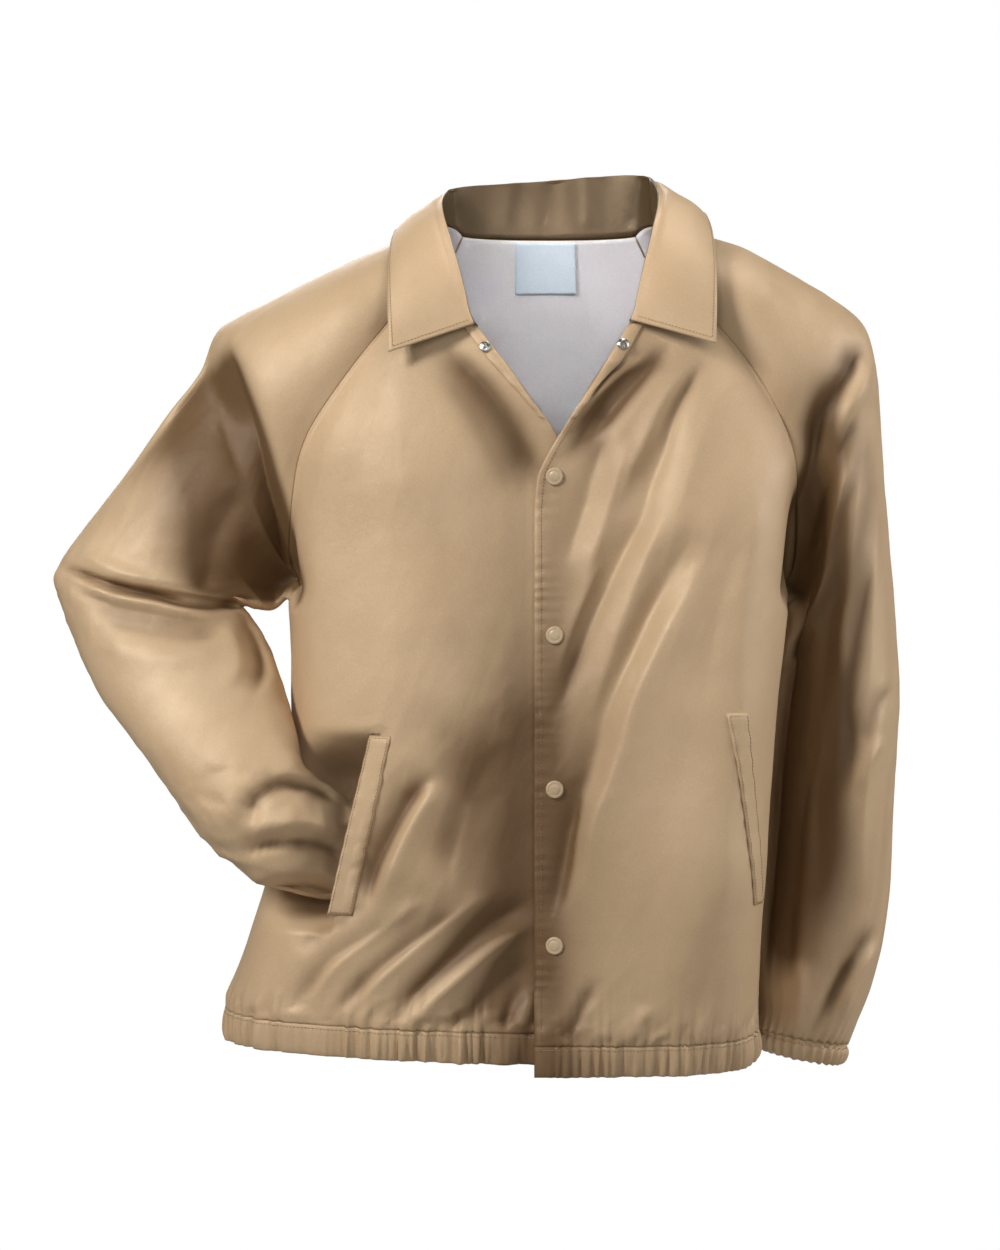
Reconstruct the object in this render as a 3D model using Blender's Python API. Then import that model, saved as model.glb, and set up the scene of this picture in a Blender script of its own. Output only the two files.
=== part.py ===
"""A lined coach jacket with raglan sleeves, filled out as if worn, one cuff tucked into its pocket.

Metres, +Z up. The front faces -Y and the wearer's left is +X. The origin is the middle of the neck at
the height of the shoulder line, where the wearer holds the jacket up.
"""

import bpy
import bmesh
import numpy as np
from mathutils import Vector

CLOTH = 0.0012
SEAM_GAP = 0.0003
SMOOTH_SEAM = 0.75
LINING_CLOTH = 0.0010
ARMPIT_HEIGHT = -0.320
CASING_DEEP = 0.026
FOLDS_END = (-0.678, -0.640)
FOLDS_START = (0.008, 0.040)
SIDE_SEAM_FADE = (0.02, 0.35)
OVERLAP_STEP = 0.0042
LEFT_OVERLAP = (0.012, 0.045)
RIGHT_OVERLAP = (-0.045, -0.018)
SNAP_RADIUS = 0.0075
SNAP_TALL = 0.0028
SNAP_LIFT = 0.0004
SNAP_SIDES = 14
SNAP_HEIGHTS = (-0.213, -0.345, -0.473, -0.603)
SNAP_LINE = 0.002
CAP_PROFILE = ((0.0, 0.80), (0.55, 0.84), (0.74, 0.92), (0.90, 1.0), (1.0, 0.55), (0.94, 0.0), (0.0, 0.0))
WELT_WIDE = 0.021
WELT_LIFT = 0.0022
MOUTH_WIDE = 0.007
DENT_DEEP = 0.085
DENT_WIDE = 0.050
WELT_CLOTH = 0.0014
LEFT_UNDERARM_CUSP = 0.25
RIGHT_UNDERARM_CUSP = 0.85
FOLD_ROUND = 0.0075
LEAF_PUFF = 0.0055
LABEL_WIDE = 0.054
LABEL_TALL = 0.044
LABEL_INSET = 0.0035

FRONT_COLUMNS = 13
POCKET_COLUMN = 8
BACK_COLUMNS = 18
ROWS_BELOW_ARMPIT = 14
RAGLAN_ROWS = 10
SEAM_CROWDING = 1.5
SLEEVE_COLUMNS = 18

TAN = (0.60, 0.43, 0.26)
GREY = (0.62, 0.59, 0.60)
WHITE = (0.80, 0.86, 0.92)
STEEL = (0.70, 0.70, 0.70)


def table(columns, *rows):
    """The named columns of a short table, as arrays."""
    values = np.array(rows, float)
    return {name: values[:, i] for i, name in enumerate(columns.split())}


# Half widths and depths of the body's rings, wearer's left and right apart.
TORSO = table(
    "height left right front back square",
    (-0.720, 0.175, 0.285, 0.118, 0.112, 2.7),
    (-0.690, 0.177, 0.283, 0.124, 0.118, 2.8),
    (-0.655, 0.179, 0.277, 0.132, 0.124, 2.9),
    (-0.610, 0.181, 0.262, 0.138, 0.127, 3.0),
    (-0.530, 0.185, 0.238, 0.141, 0.126, 3.0),
    (-0.450, 0.190, 0.222, 0.141, 0.123, 3.0),
    (-0.350, 0.200, 0.224, 0.139, 0.121, 2.9),
    (-0.280, 0.210, 0.228, 0.136, 0.119, 2.8),
    (-0.200, 0.220, 0.228, 0.129, 0.117, 3.0),
    (-0.130, 0.202, 0.202, 0.115, 0.111, 3.2),
    (-0.080, 0.165, 0.165, 0.098, 0.099, 3.3),
    (-0.030, 0.127, 0.127, 0.078, 0.083, 3.0),
    (0.020, 0.110, 0.110, 0.062, 0.066, 2.6),
)
# Where each raglan seam runs: its height, and its share of the ring's half width, from neck to armpit.
FRONT_RAGLAN = table(
    "station height share",
    (0.0, -0.032, 0.780),
    (0.2, -0.075, 0.815),
    (0.4, -0.120, 0.850),
    (0.6, -0.175, 0.915),
    (0.8, -0.240, 0.965),
    (1.0, ARMPIT_HEIGHT, 1.0),
)
BACK_RAGLAN = table(
    "station height share",
    (0.0, 0.009, 0.680),
    (0.2, -0.050, 0.780),
    (0.4, -0.105, 0.835),
    (0.6, -0.165, 0.870),
    (0.8, -0.235, 0.925),
    (1.0, ARMPIT_HEIGHT, 1.0),
)
# The front edges: straight where the snaps are fastened, then opening in a V up to the collar's ends.
LEFT_EDGE = table(
    "height x",
    (-0.720, -0.0150),
    (-0.250, -0.0150),
    (-0.215, -0.0125),
    (-0.195, -0.0040),
    (-0.175, 0.0080),
    (-0.150, 0.0235),
    (-0.120, 0.0425),
    (-0.083, 0.0650),
)
RIGHT_EDGE = table(
    "height x",
    (-0.720, 0.0160),
    (-0.220, 0.0160),
    (-0.195, 0.0120),
    (-0.175, 0.0020),
    (-0.150, -0.0160),
    (-0.120, -0.0370),
    (-0.087, -0.0620),
)
# The hem's height under each panel, from its first column to its last.
LEFT_HEM = table("share height", (0.0, -0.7130), (0.5, -0.7130), (0.85, -0.7080), (1.0, -0.7000))
RIGHT_HEM = table("share height", (0.0, -0.7045), (0.4, -0.6990), (1.0, -0.6900))
BACK_HEM = table("share height", (0.0, -0.7000), (0.5, -0.7030), (1.0, -0.6900))
# Each pocket's welt: the line of its rear or front edge that is nearer the centre, top and bottom.
LEFT_WELT = table("height x", (-0.571, 0.1655), (-0.409, 0.1400))
RIGHT_WELT = table("height x", (-0.577, -0.1664), (-0.428, -0.1324))

# Sleeves, neck to cuff: outer line, inner line and half depth. Up to station 1 the inner line is the seams.
SLEEVE_COLUMNS_NAMED = "station outer_x outer_y outer_z inner_x inner_y inner_z deep"
LEFT_SLEEVE = table(
    SLEEVE_COLUMNS_NAMED,
    (0.00, 0.100, 0.000, 0.006, 0.0, 0.0, 0.0, 0.064),
    (0.20, 0.147, 0.000, -0.002, 0.0, 0.0, 0.0, 0.082),
    (0.40, 0.195, 0.000, -0.024, 0.0, 0.0, 0.0, 0.091),
    (0.60, 0.239, 0.001, -0.050, 0.0, 0.0, 0.0, 0.090),
    (0.80, 0.275, 0.005, -0.081, 0.0, 0.0, 0.0, 0.086),
    (1.00, 0.287, 0.012, -0.133, 0.2048, 0.0, ARMPIT_HEIGHT, 0.086),
    (1.30, 0.291, 0.020, -0.195, 0.207, 0.012, -0.352, 0.089),
    (1.60, 0.296, 0.028, -0.250, 0.204, 0.035, -0.380, 0.088),
    (2.00, 0.303, 0.035, -0.320, 0.200, 0.045, -0.420, 0.086),
    (2.40, 0.307, 0.038, -0.390, 0.196, 0.046, -0.465, 0.083),
    (2.80, 0.304, 0.038, -0.465, 0.192, 0.046, -0.515, 0.080),
    (3.20, 0.300, 0.035, -0.540, 0.188, 0.044, -0.570, 0.077),
    (3.60, 0.293, 0.032, -0.610, 0.187, 0.040, -0.620, 0.072),
    (3.85, 0.282, 0.031, -0.655, 0.185, 0.035, -0.652, 0.063),
    (4.00, 0.271, 0.030, -0.682, 0.184, 0.032, -0.674, 0.053),
    (4.12, 0.262, 0.030, -0.704, 0.182, 0.030, -0.690, 0.040),
)
RIGHT_SLEEVE = table(
    SLEEVE_COLUMNS_NAMED,
    (0.00, -0.100, 0.000, 0.006, 0.0, 0.0, 0.0, 0.064),
    (0.20, -0.143, 0.000, -0.008, 0.0, 0.0, 0.0, 0.081),
    (0.40, -0.190, 0.000, -0.029, 0.0, 0.0, 0.0, 0.089),
    (0.60, -0.241, 0.001, -0.055, 0.0, 0.0, 0.0, 0.088),
    (0.80, -0.289, 0.003, -0.080, 0.0, 0.0, 0.0, 0.082),
    (1.00, -0.307, 0.006, -0.112, -0.2253, 0.0, ARMPIT_HEIGHT, 0.075),
    (1.30, -0.350, 0.014, -0.176, -0.2430, 0.004, -0.3235, 0.070),
    (1.60, -0.393, 0.020, -0.234, -0.2530, 0.004, -0.3225, 0.067),
    (1.85, -0.428, 0.022, -0.282, -0.262, 0.002, -0.3190, 0.066),
    (2.00, -0.4345, 0.020, -0.296, -0.267, 0.000, -0.3205, 0.060),
    (2.15, -0.431, 0.016, -0.308, -0.262, -0.004, -0.3270, 0.065),
    (2.40, -0.4155, 0.000, -0.342, -0.250, -0.014, -0.3440, 0.063),
    (2.70, -0.390, -0.028, -0.392, -0.237, -0.034, -0.3670, 0.057),
    (3.00, -0.3553, -0.058, -0.434, -0.2225, -0.062, -0.4045, 0.052),
    (3.30, -0.3202, -0.084, -0.475, -0.2135, -0.086, -0.4320, 0.046),
    (3.60, -0.2889, -0.100, -0.516, -0.2080, -0.102, -0.4520, 0.040),
    (3.85, -0.2596, -0.102, -0.5418, -0.1970, -0.100, -0.4660, 0.035),
    (4.10, -0.2260, -0.090, -0.5588, -0.1820, -0.088, -0.4780, 0.029),
    (4.30, -0.1930, -0.074, -0.5660, -0.1650, -0.072, -0.4900, 0.021),
    (4.50, -0.1640, -0.070, -0.5600, -0.1400, -0.069, -0.4960, 0.021),
    (4.70, -0.1380, -0.069, -0.5530, -0.1160, -0.068, -0.4980, 0.021),
)
# The cuff's far ring, as a move of the sleeve's last ring.
LEFT_CUFF_MOVE = (-0.0015, 0.000, -0.018)
RIGHT_CUFF_MOVE = (0.018, 0.001, 0.002)

# Folds of the fronts, as lines seen from the front: a ridge has a positive depth, a trough a negative one.
FRONT_FOLDS = table(
    "start_x start_z end_x end_z wide deep",
    (-0.222, -0.650, -0.128, -0.578, 0.017, -0.0085),
    (-0.195, -0.672, -0.110, -0.612, 0.016, 0.0065),
    (-0.120, -0.660, -0.016, -0.590, 0.017, 0.0070),
    (-0.112, -0.676, -0.018, -0.636, 0.016, -0.0060),
    (-0.098, -0.470, -0.152, -0.580, 0.016, -0.0085),
    (-0.076, -0.476, -0.126, -0.598, 0.016, 0.0060),
    (-0.060, -0.480, -0.020, -0.600, 0.030, -0.0060),
    (0.062, -0.190, 0.012, -0.330, 0.016, -0.0055),
    (0.085, -0.260, 0.030, -0.420, 0.020, 0.0065),
    (0.088, -0.350, 0.038, -0.560, 0.017, -0.0080),
    (0.118, -0.180, 0.055, -0.540, 0.028, 0.0070),
    (0.130, -0.380, 0.075, -0.620, 0.026, -0.0040),
    (0.090, -0.105, 0.075, -0.190, 0.016, -0.0045),
    (0.115, -0.115, 0.100, -0.200, 0.014, 0.0035),
    (0.170, -0.200, 0.140, -0.380, 0.022, -0.0040),
    (-0.085, -0.120, -0.020, -0.215, 0.022, -0.0055),
    (0.020, -0.640, 0.090, -0.668, 0.014, -0.0035),
)
BACK_FOLDS = table(
    "start_x start_z end_x end_z wide deep",
    (-0.175, -0.200, -0.150, -0.420, 0.020, -0.0070),
    (0.170, -0.210, 0.140, -0.430, 0.020, -0.0070),
    (-0.120, -0.160, -0.080, -0.400, 0.026, 0.0050),
    (0.115, -0.160, 0.070, -0.400, 0.026, 0.0050),
    (-0.100, -0.480, -0.150, -0.660, 0.018, -0.0060),
    (-0.030, -0.420, -0.045, -0.660, 0.022, 0.0060),
    (0.060, -0.450, 0.080, -0.660, 0.018, -0.0060),
    (-0.200, -0.560, -0.220, -0.670, 0.014, 0.0050),
    (0.125, -0.520, 0.130, -0.660, 0.014, 0.0045),
    (0.000, -0.070, 0.000, -0.180, 0.030, -0.0030),
)
# Folds of the sleeves, in stations along the sleeve and shares round it from the front seam.
SLEEVE_FOLDS = "start_station start_share end_station end_share wide deep"
LEFT_SLEEVE_FOLDS = table(
    SLEEVE_FOLDS,
    (0.95, 0.12, 2.60, 0.17, 0.040, -0.0090),
    (0.90, 0.30, 3.10, 0.26, 0.040, 0.0060),
    (1.60, 0.36, 3.60, 0.36, 0.030, -0.0060),
    (3.10, 0.44, 3.75, 0.30, 0.035, -0.0060),
    (3.45, 0.34, 4.00, 0.20, 0.030, 0.0055),
    (1.20, 0.66, 3.40, 0.62, 0.040, -0.0060),
    (2.00, 0.80, 3.80, 0.76, 0.040, 0.0060),
)
RIGHT_SLEEVE_FOLDS = table(
    SLEEVE_FOLDS,
    (0.82, 0.44, 1.70, 0.16, 0.045, -0.0110),
    (1.97, 0.46, 2.02, 0.14, 0.050, -0.0070),
    (2.20, 0.44, 2.22, 0.10, 0.040, 0.0050),
    (2.25, 0.06, 3.00, 0.12, 0.035, -0.0060),
    (3.55, 0.16, 4.10, 0.26, 0.050, -0.0060),
    (3.60, 0.30, 4.10, 0.36, 0.045, 0.0050),
    (1.98, 0.58, 2.02, 0.86, 0.050, -0.0060),
    (1.20, 0.80, 1.90, 0.66, 0.045, -0.0060),
)

# The cut collar, from a front end to the centre back: the fold's and the outer edge's places.
COLLAR = table(
    "share fold_x fold_y fold_z edge_x edge_y edge_z",
    (0.00, 0.0640, -0.1080, -0.0830, 0.1360, -0.1200, -0.1060),
    (0.12, 0.0705, -0.1010, -0.0500, 0.1370, -0.1090, -0.0800),
    (0.25, 0.0815, -0.0760, -0.0080, 0.1380, -0.0850, -0.0390),
    (0.40, 0.0895, -0.0400, 0.0230, 0.1370, -0.0450, -0.0040),
    (0.52, 0.0915, -0.0080, 0.0380, 0.1330, -0.0080, 0.0120),
    (0.68, 0.0880, 0.0380, 0.0560, 0.1180, 0.0640, 0.0100),
    (0.84, 0.0580, 0.0650, 0.0630, 0.0700, 0.1000, -0.0010),
    (1.00, 0.0000, 0.0720, 0.0635, 0.0000, 0.1130, -0.0060),
)
COLLAR_TILT = table("share tilt", (0.0, 0.025), (1.0, 0.080))
COLLAR_LIFT = 0.0014
COLLAR_INSET = 0.0006
NECK_DIP = 0.002


def slopes_of(at, values):
    """Slopes for a curve that never swings past its points: the harmonic mean of the runs beside each."""
    steps = np.diff(at)
    runs = np.diff(values) / steps
    inner = np.zeros(len(at) - 2)
    same_way = runs[:-1] * runs[1:] > 0
    pairs = runs[:-1][same_way], runs[1:][same_way]
    inner[same_way] = 2 * pairs[0] * pairs[1] / (pairs[0] + pairs[1])
    return np.concatenate([runs[:1], inner, runs[-1:]])


def follow(where, at, values):
    """The smooth cubic curve through a table's rows, read at any places."""
    where = np.clip(where, at[0], at[-1])
    slopes = slopes_of(at, values)
    low = np.clip(np.searchsorted(at, where, side="right") - 1, 0, len(at) - 2)
    step = at[low + 1] - at[low]
    t = (where - at[low]) / step
    start = (1 + 2 * t) * (1 - t) ** 2 * values[low] + t * (1 - t) ** 2 * step * slopes[low]
    end = t**2 * (3 - 2 * t) * values[low + 1] + t**2 * (t - 1) * step * slopes[low + 1]
    return start + end


def ease(value, low, high):
    """0 up to low, 1 from high on, and a smooth step between."""
    t = np.clip((value - low) / (high - low), 0.0, 1.0)
    return t * t * (3 - 2 * t)


def folds_at(folds, first, second):
    """The sum of the folds' heights at points of a plane: each is a bell across its own line."""
    start = np.stack([folds[name] for name in folds if name.startswith("start")], -1)
    end = np.stack([folds[name] for name in folds if name.startswith("end")], -1)
    point = np.stack([first, second], -1)[..., None, :]
    line = end - start
    length = np.linalg.norm(line, axis=-1)
    along = ((point - start) * line).sum(-1) / length**2
    nearest = start + np.clip(along, 0, 1)[..., None] * line
    away = np.linalg.norm(point - nearest, axis=-1)
    fade = ease(along, -0.10, 0.25) * (1 - ease(along, 0.70, 1.10))
    return (folds["deep"] * fade * np.exp(-((away / folds["wide"]) ** 2))).sum(-1)


def ring_sizes(height):
    """The ring's half widths, half depths and squareness at a height."""
    names = "left right front back square".split()
    return [follow(height, TORSO["height"], TORSO[name]) for name in names]


def torso(angle, height, lift=0.0):
    """A point of the body: a squared ellipse at each height, raised by its folds and by lift.

    The angle is 0 at the centre front and grows towards the wearer's left.
    """
    angle, height, lift = np.broadcast_arrays(np.asarray(angle, float), height, lift)
    left, right, front, back, square = ring_sizes(height)
    sine, cosine = np.sin(angle), np.cos(angle)
    wide = np.where(sine >= 0, left, right)
    deep = np.where(cosine >= 0, front, back)
    reach = (np.abs(sine) ** square + np.abs(cosine) ** square) ** (-1 / square)
    across, ahead = sine * reach, -cosine * reach
    x, y = wide * across, deep * ahead
    out_x = across * np.abs(across) ** (square - 2) / wide
    out_y = ahead * np.abs(ahead) ** (square - 2) / deep
    out = np.stack([out_x, out_y, 0 * x], -1)
    out /= np.linalg.norm(out, axis=-1, keepdims=True)
    front_folds = folds_at(FRONT_FOLDS, x, height) * ease(np.abs(x), *FOLDS_START)
    raised = np.where(y < 0, front_folds, folds_at(BACK_FOLDS, x, height))
    raised = raised * ease(np.abs(cosine), *SIDE_SEAM_FADE) * ease(height, *FOLDS_END) + lift
    return np.stack([x, y, height], -1) + out * raised[..., None]


def angle_of_share(share, height):
    """The angle at which the ring reaches this share of its half width, signed as the share is."""
    square = follow(height, TORSO["height"], TORSO["square"])
    across = np.clip(np.abs(share), 0, 1)
    return np.sign(share) * np.arctan2(across, (1 - across**square) ** (1 / square))


def angle_of_x(x, height):
    """The angle on the ring's front at which it reaches x."""
    left, right = ring_sizes(height)[:2]
    return angle_of_share(x / np.where(x >= 0, left, right), height)


def raglan_stations():
    """Stations down a raglan seam, closer together towards the armpit."""
    return 1 - (1 - np.linspace(0, 1, RAGLAN_ROWS + 1)) ** SEAM_CROWDING


def raglan_angle(seam, station, side):
    """The angle and the height of a raglan seam at a station, on the ring's front."""
    height = follow(station, seam["station"], seam["height"])
    share = follow(station, seam["station"], seam["share"])
    return angle_of_share(side * share, height), height


def moved_round(angle, height, distance, steps=6, small=0.001):
    """The angle reached from another one by a distance along the ring, in a few short steps."""
    for _ in range(steps):
        pace = np.linalg.norm(torso(angle + small, height) - torso(angle, height), axis=-1) / small
        angle = angle + distance / steps / pace
    return angle


def welt_line(side, height):
    """The angle of the edge of a pocket's welt that is nearer the centre."""
    welt = LEFT_WELT if side > 0 else RIGHT_WELT
    slope = (welt["x"][1] - welt["x"][0]) / (welt["height"][1] - welt["height"][0])
    return angle_of_x(welt["x"][0] + slope * (height - welt["height"][0]), height)


def front_grid(side, columns=FRONT_COLUMNS, pocket_column=POCKET_COLUMN):
    """Angles and heights of a front's grid: rows from hem to neckline, columns from its edge to its seams.

    One column follows the pocket's mouth. Side is 1 for the wearer's left and -1 for the right.
    """
    edge, hem = (LEFT_EDGE, LEFT_HEM) if side > 0 else (RIGHT_EDGE, RIGHT_HEM)
    welt = LEFT_WELT if side > 0 else RIGHT_WELT
    share = np.linspace(0, 1, columns + 1)
    up = np.linspace(0, 1, ROWS_BELOW_ARMPIT + 1)[:, None]
    bottom = follow(share, hem["share"], hem["height"]) + CASING_DEEP
    low = bottom + (ARMPIT_HEIGHT - bottom) * up
    station = raglan_stations()[-2::-1]
    seam_angle, seam_height = raglan_angle(FRONT_RAGLAN, station, side)
    edge_height = ARMPIT_HEIGHT + (edge["height"][-1] - ARMPIT_HEIGHT) * (1 - station)
    high = edge_height[:, None] + (seam_height - edge_height)[:, None] * share
    height = np.concatenate([low, high])
    first = angle_of_x(follow(height[:, 0], edge["height"], edge["x"]), height[:, 0])
    last = np.concatenate([np.full(len(low), side * np.pi / 2), seam_angle])
    level = np.clip(height[:, pocket_column], welt["height"][0], ARMPIT_HEIGHT)
    line = welt_line(side, level)
    inner_share, outer_share = [
        (moved_round(line, level, side * wide) - first) / (last - first)
        for wide in (WELT_WIDE / 2, WELT_WIDE / 2 + MOUTH_WIDE)
    ]
    for edge_share, even in ((inner_share, pocket_column), (outer_share, pocket_column + 1)):
        edge_share[len(low):] = even / columns + (edge_share[len(low) - 1] - even / columns) * station**2
    inner_share, outer_share = inner_share[:, None], outer_share[:, None]
    count = np.arange(columns + 1)
    before = inner_share * count / pocket_column
    after = outer_share + (1 - outer_share) * (count - pocket_column - 1) / (columns - pocket_column - 1)
    spread = np.where(count <= pocket_column, before, after)
    return first[:, None] + (last - first)[:, None] * spread, height


def back_grid(columns=BACK_COLUMNS):
    """Angles and heights of the back's grid: rows from hem to neckline, columns from the wearer's left."""
    share = np.linspace(0, 1, columns + 1)
    up = np.linspace(0, 1, ROWS_BELOW_ARMPIT + 1)[:, None]
    bottom = follow(share, BACK_HEM["share"], BACK_HEM["height"]) + CASING_DEEP
    low = bottom + (ARMPIT_HEIGHT - bottom) * up
    station = raglan_stations()[-2::-1]
    front_angle, seam_height = raglan_angle(BACK_RAGLAN, station, 1)
    reach = np.concatenate([np.full(len(low), np.pi / 2), front_angle])[:, None]
    dip = NECK_DIP * (1 - station)[:, None] * (1 - (2 * share - 1) ** 2)
    height = np.concatenate([low, seam_height[:, None] - dip])
    return np.pi - reach * (1 - 2 * share), height


def located(angles, heights, angle, height):
    """The row and column, with fractions, at which a grid's cell holds an angle and a height."""
    shape = np.broadcast(angle, height).shape
    angle, height = np.broadcast_to(angle, shape).ravel(), np.broadcast_to(height, shape).ravel()
    rows, columns = np.arange(angles.shape[0]), np.arange(angles.shape[1])
    turn = 1 if angles[0, -1] > angles[0, 0] else -1
    row, column = np.zeros(len(angle)), np.full(len(angle), columns[-1] / 2)
    for _ in range(6):
        for i in range(len(angle)):
            left = min(int(column[i]), columns[-1] - 1)
            line = heights[:, left] + (heights[:, left + 1] - heights[:, left]) * (column[i] - left)
            row[i] = np.interp(height[i], line, rows)
            low = min(int(row[i]), rows[-1] - 1)
            line = angles[low] + (angles[low + 1] - angles[low]) * (row[i] - low)
            column[i] = np.interp(turn * angle[i], turn * line, columns)
    return row.reshape(shape), column.reshape(shape)


def between_points(grid, row, column):
    """A point of a grid's faces, mixed from the four corners of its cell."""
    low = np.minimum(row.astype(int), grid.shape[0] - 2)
    left = np.minimum(column.astype(int), grid.shape[1] - 2)
    down, over = (row - low)[..., None], (column - left)[..., None]
    near = grid[low, left] * (1 - over) + grid[low, left + 1] * over
    far = grid[low + 1, left] * (1 - over) + grid[low + 1, left + 1] * over
    return near * (1 - down) + far * down


def overlap_step(side, angle, height):
    """How far a front stands out near the snaps: the wearer's left front lies over the right one."""
    x = torso(angle, height)[..., 0]
    if side > 0:
        near = 1 - ease(x, *LEFT_OVERLAP)
    else:
        near = ease(x, *RIGHT_OVERLAP)
    fastened = 1 - 0.6 * ease(height, -0.200, -0.150)
    return side * OVERLAP_STEP / 2 * near * fastened


def pocket_dent(grid, after):
    """How far the cloth behind the tucked-in cuff is pushed in, deepest at the pocket's mouth.

    After is the first column past the mouth.
    """
    away = grid[:, after, None, 0] - grid[..., 0]
    height = grid[..., 2]
    tall = ease(height, -0.605, -0.565) * (1 - ease(height, -0.470, -0.420))
    in_front = np.clip(-grid[..., 1] / 0.100, 0, 1)
    past_mouth = np.arange(grid.shape[1]) >= after
    return past_mouth * DENT_DEEP * np.exp(-((away / DENT_WIDE) ** 2)) * tall * in_front


def sleeve_points(sleeve, folds, side, station, share):
    """A sleeve's points: at each station an arc of an ellipse from the front seam over to the back seam.

    Below the armpit the arc is a whole ellipse between the outer and the inner line. Near the armpit it
    ends in a soft point, as the cross of seams there pulls it.
    """
    rows = sleeve["station"]
    outer = np.stack([follow(station, rows, sleeve["outer_" + axis]) for axis in "xyz"], -1)
    free = rows >= 1
    inner = np.stack([follow(station, rows[free], sleeve["inner_" + axis][free]) for axis in "xyz"], -1)
    deep = follow(station, rows, sleeve["deep"])
    seam_station = np.clip(station, 0, 1)
    front_angle, front_height = raglan_angle(FRONT_RAGLAN, seam_station, side)
    back_angle, back_height = raglan_angle(BACK_RAGLAN, seam_station, side)
    front_seam = torso(front_angle, front_height)
    back_seam = torso(np.pi - back_angle, back_height)
    on_body = (station < 1)[..., None]
    middle = np.where(on_body, (front_seam + back_seam) / 2, inner)
    apart = front_seam - back_seam
    width = np.linalg.norm(apart, axis=-1)
    across = np.where(on_body, apart / np.maximum(width, 1e-9)[..., None], np.array([0.0, -1.0, 0.0]))
    half_turn = np.pi - np.arcsin(np.clip(np.where(station < 1, width / 2 / deep, 0.0), 0, 1))
    deep = np.where(station < 1, np.maximum(deep, width / 2), deep)
    rise = (outer - middle) / (1 - np.cos(half_turn))[..., None]
    turn = half_turn * (1 - 2 * share)
    cusp = LEFT_UNDERARM_CUSP if side > 0 else RIGHT_UNDERARM_CUSP
    cusp = cusp * ease(station, 0.6, 1.0) * (1 - ease(station, 1.0, 1.35))
    rounded = np.cos(turn) - np.cos(half_turn)
    pointed = (1 - np.cos(half_turn)) * (1 - np.abs(2 * share - 1))
    along = rounded * (1 - cusp) + pointed * cusp
    points = middle + rise * along[..., None] + across * (deep * np.sin(turn))[..., None]
    out = rise * np.cos(turn)[..., None] / np.maximum((rise**2).sum(-1), 1e-9)[..., None]
    out = out + across * (np.sin(turn) / deep)[..., None]
    out /= np.linalg.norm(out, axis=-1, keepdims=True)
    raised = folds_at(folds, station, share)
    raised = raised * ease(share, 0.0, 0.06) * (1 - ease(share, 0.94, 1.0)) * ease(station, 0.0, 0.3)
    return points + out * raised[..., None]


def grid_faces(rows, columns, skipped=()):
    """The four-sided faces of a grid of points, without the cells named as (row, column)."""
    row, column = np.meshgrid(np.arange(rows - 1), np.arange(columns - 1), indexing="ij")
    kept = np.ones(row.shape, bool)
    for cell in skipped:
        kept[cell] = False
    corner = (row * columns + column)[kept]
    return np.stack([corner, corner + 1, corner + columns + 1, corner + columns], -1)


def welded(points, faces):
    """Points that share a place made one."""
    places = np.round(points * 1e6).astype(np.int64)
    _, first, index = np.unique(places, axis=0, return_index=True, return_inverse=True)
    return points[first], index.reshape(-1)[faces]


def face_normals(points, faces):
    """A normal for each face, as long as twice its area."""
    corner = points[faces]
    return np.cross(corner[:, 2] - corner[:, 0], corner[:, 3] - corner[:, 1])


def vertex_normals(points, faces):
    """The sum of the normals of the faces round each point."""
    normals = np.zeros_like(points)
    for i in range(4):
        np.add.at(normals, faces[:, i], face_normals(points, faces))
    return normals


def unit(vectors):
    """The same directions, one long."""
    return vectors / np.maximum(np.linalg.norm(vectors, axis=-1, keepdims=True), 1e-12)


def shared_normals(sheets):
    """One normal for each seam point of several sheets, so that their walls are parallel where they meet.

    In a deep valley, such as the armpit's, each sheet keeps its own.
    """
    points = np.concatenate([points for points, _ in sheets])
    normals = np.concatenate([vertex_normals(*sheet) for sheet in sheets])
    _, index = np.unique(np.round(points * 1e5).astype(np.int64), axis=0, return_inverse=True)
    index = index.reshape(-1)
    total = np.zeros((index.max() + 1, 3))
    np.add.at(total, index, normals)
    own, shared = unit(normals), unit(total[index])
    smooth = (own * shared).sum(1, keepdims=True) > SMOOTH_SEAM
    cuts = np.cumsum([len(points) for points, _ in sheets])[:-1]
    return np.split(np.where(smooth, shared, own), cuts)


def border_edges(faces):
    """The edges that have one face, in that face's direction."""
    edges = np.concatenate([faces[:, [i, (i + 1) % 4]] for i in range(4)])
    _, index, count = np.unique(np.sort(edges, 1), axis=0, return_inverse=True, return_counts=True)
    return edges[count[index.reshape(-1)] == 1]


def drawn_in(points, faces, normals, distance):
    """The sheet with its border moved in by a distance, so that a gap is left at each seam."""
    edges = border_edges(faces)
    inward = unit(np.cross(normals[edges].mean(1), points[edges[:, 1]] - points[edges[:, 0]]))
    total = np.zeros_like(points)
    np.add.at(total, edges[:, 0], inward)
    np.add.at(total, edges[:, 1], inward)
    length = np.linalg.norm(total, axis=1, keepdims=True)
    mitred = distance * 2 / np.clip(length, 1.0, 2.0)
    return points + unit(total) * mitred * (length > 0)


def in_triangles(points, faces):
    """Each four-sided face split along its shorter diagonal."""
    first = np.linalg.norm(points[faces[:, 0]] - points[faces[:, 2]], axis=1)
    second = np.linalg.norm(points[faces[:, 1]] - points[faces[:, 3]], axis=1)
    turned = np.where((first <= second)[:, None], faces, np.roll(faces, -1, axis=1))
    return np.concatenate([turned[:, [0, 1, 2]], turned[:, [0, 2, 3]]])


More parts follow.
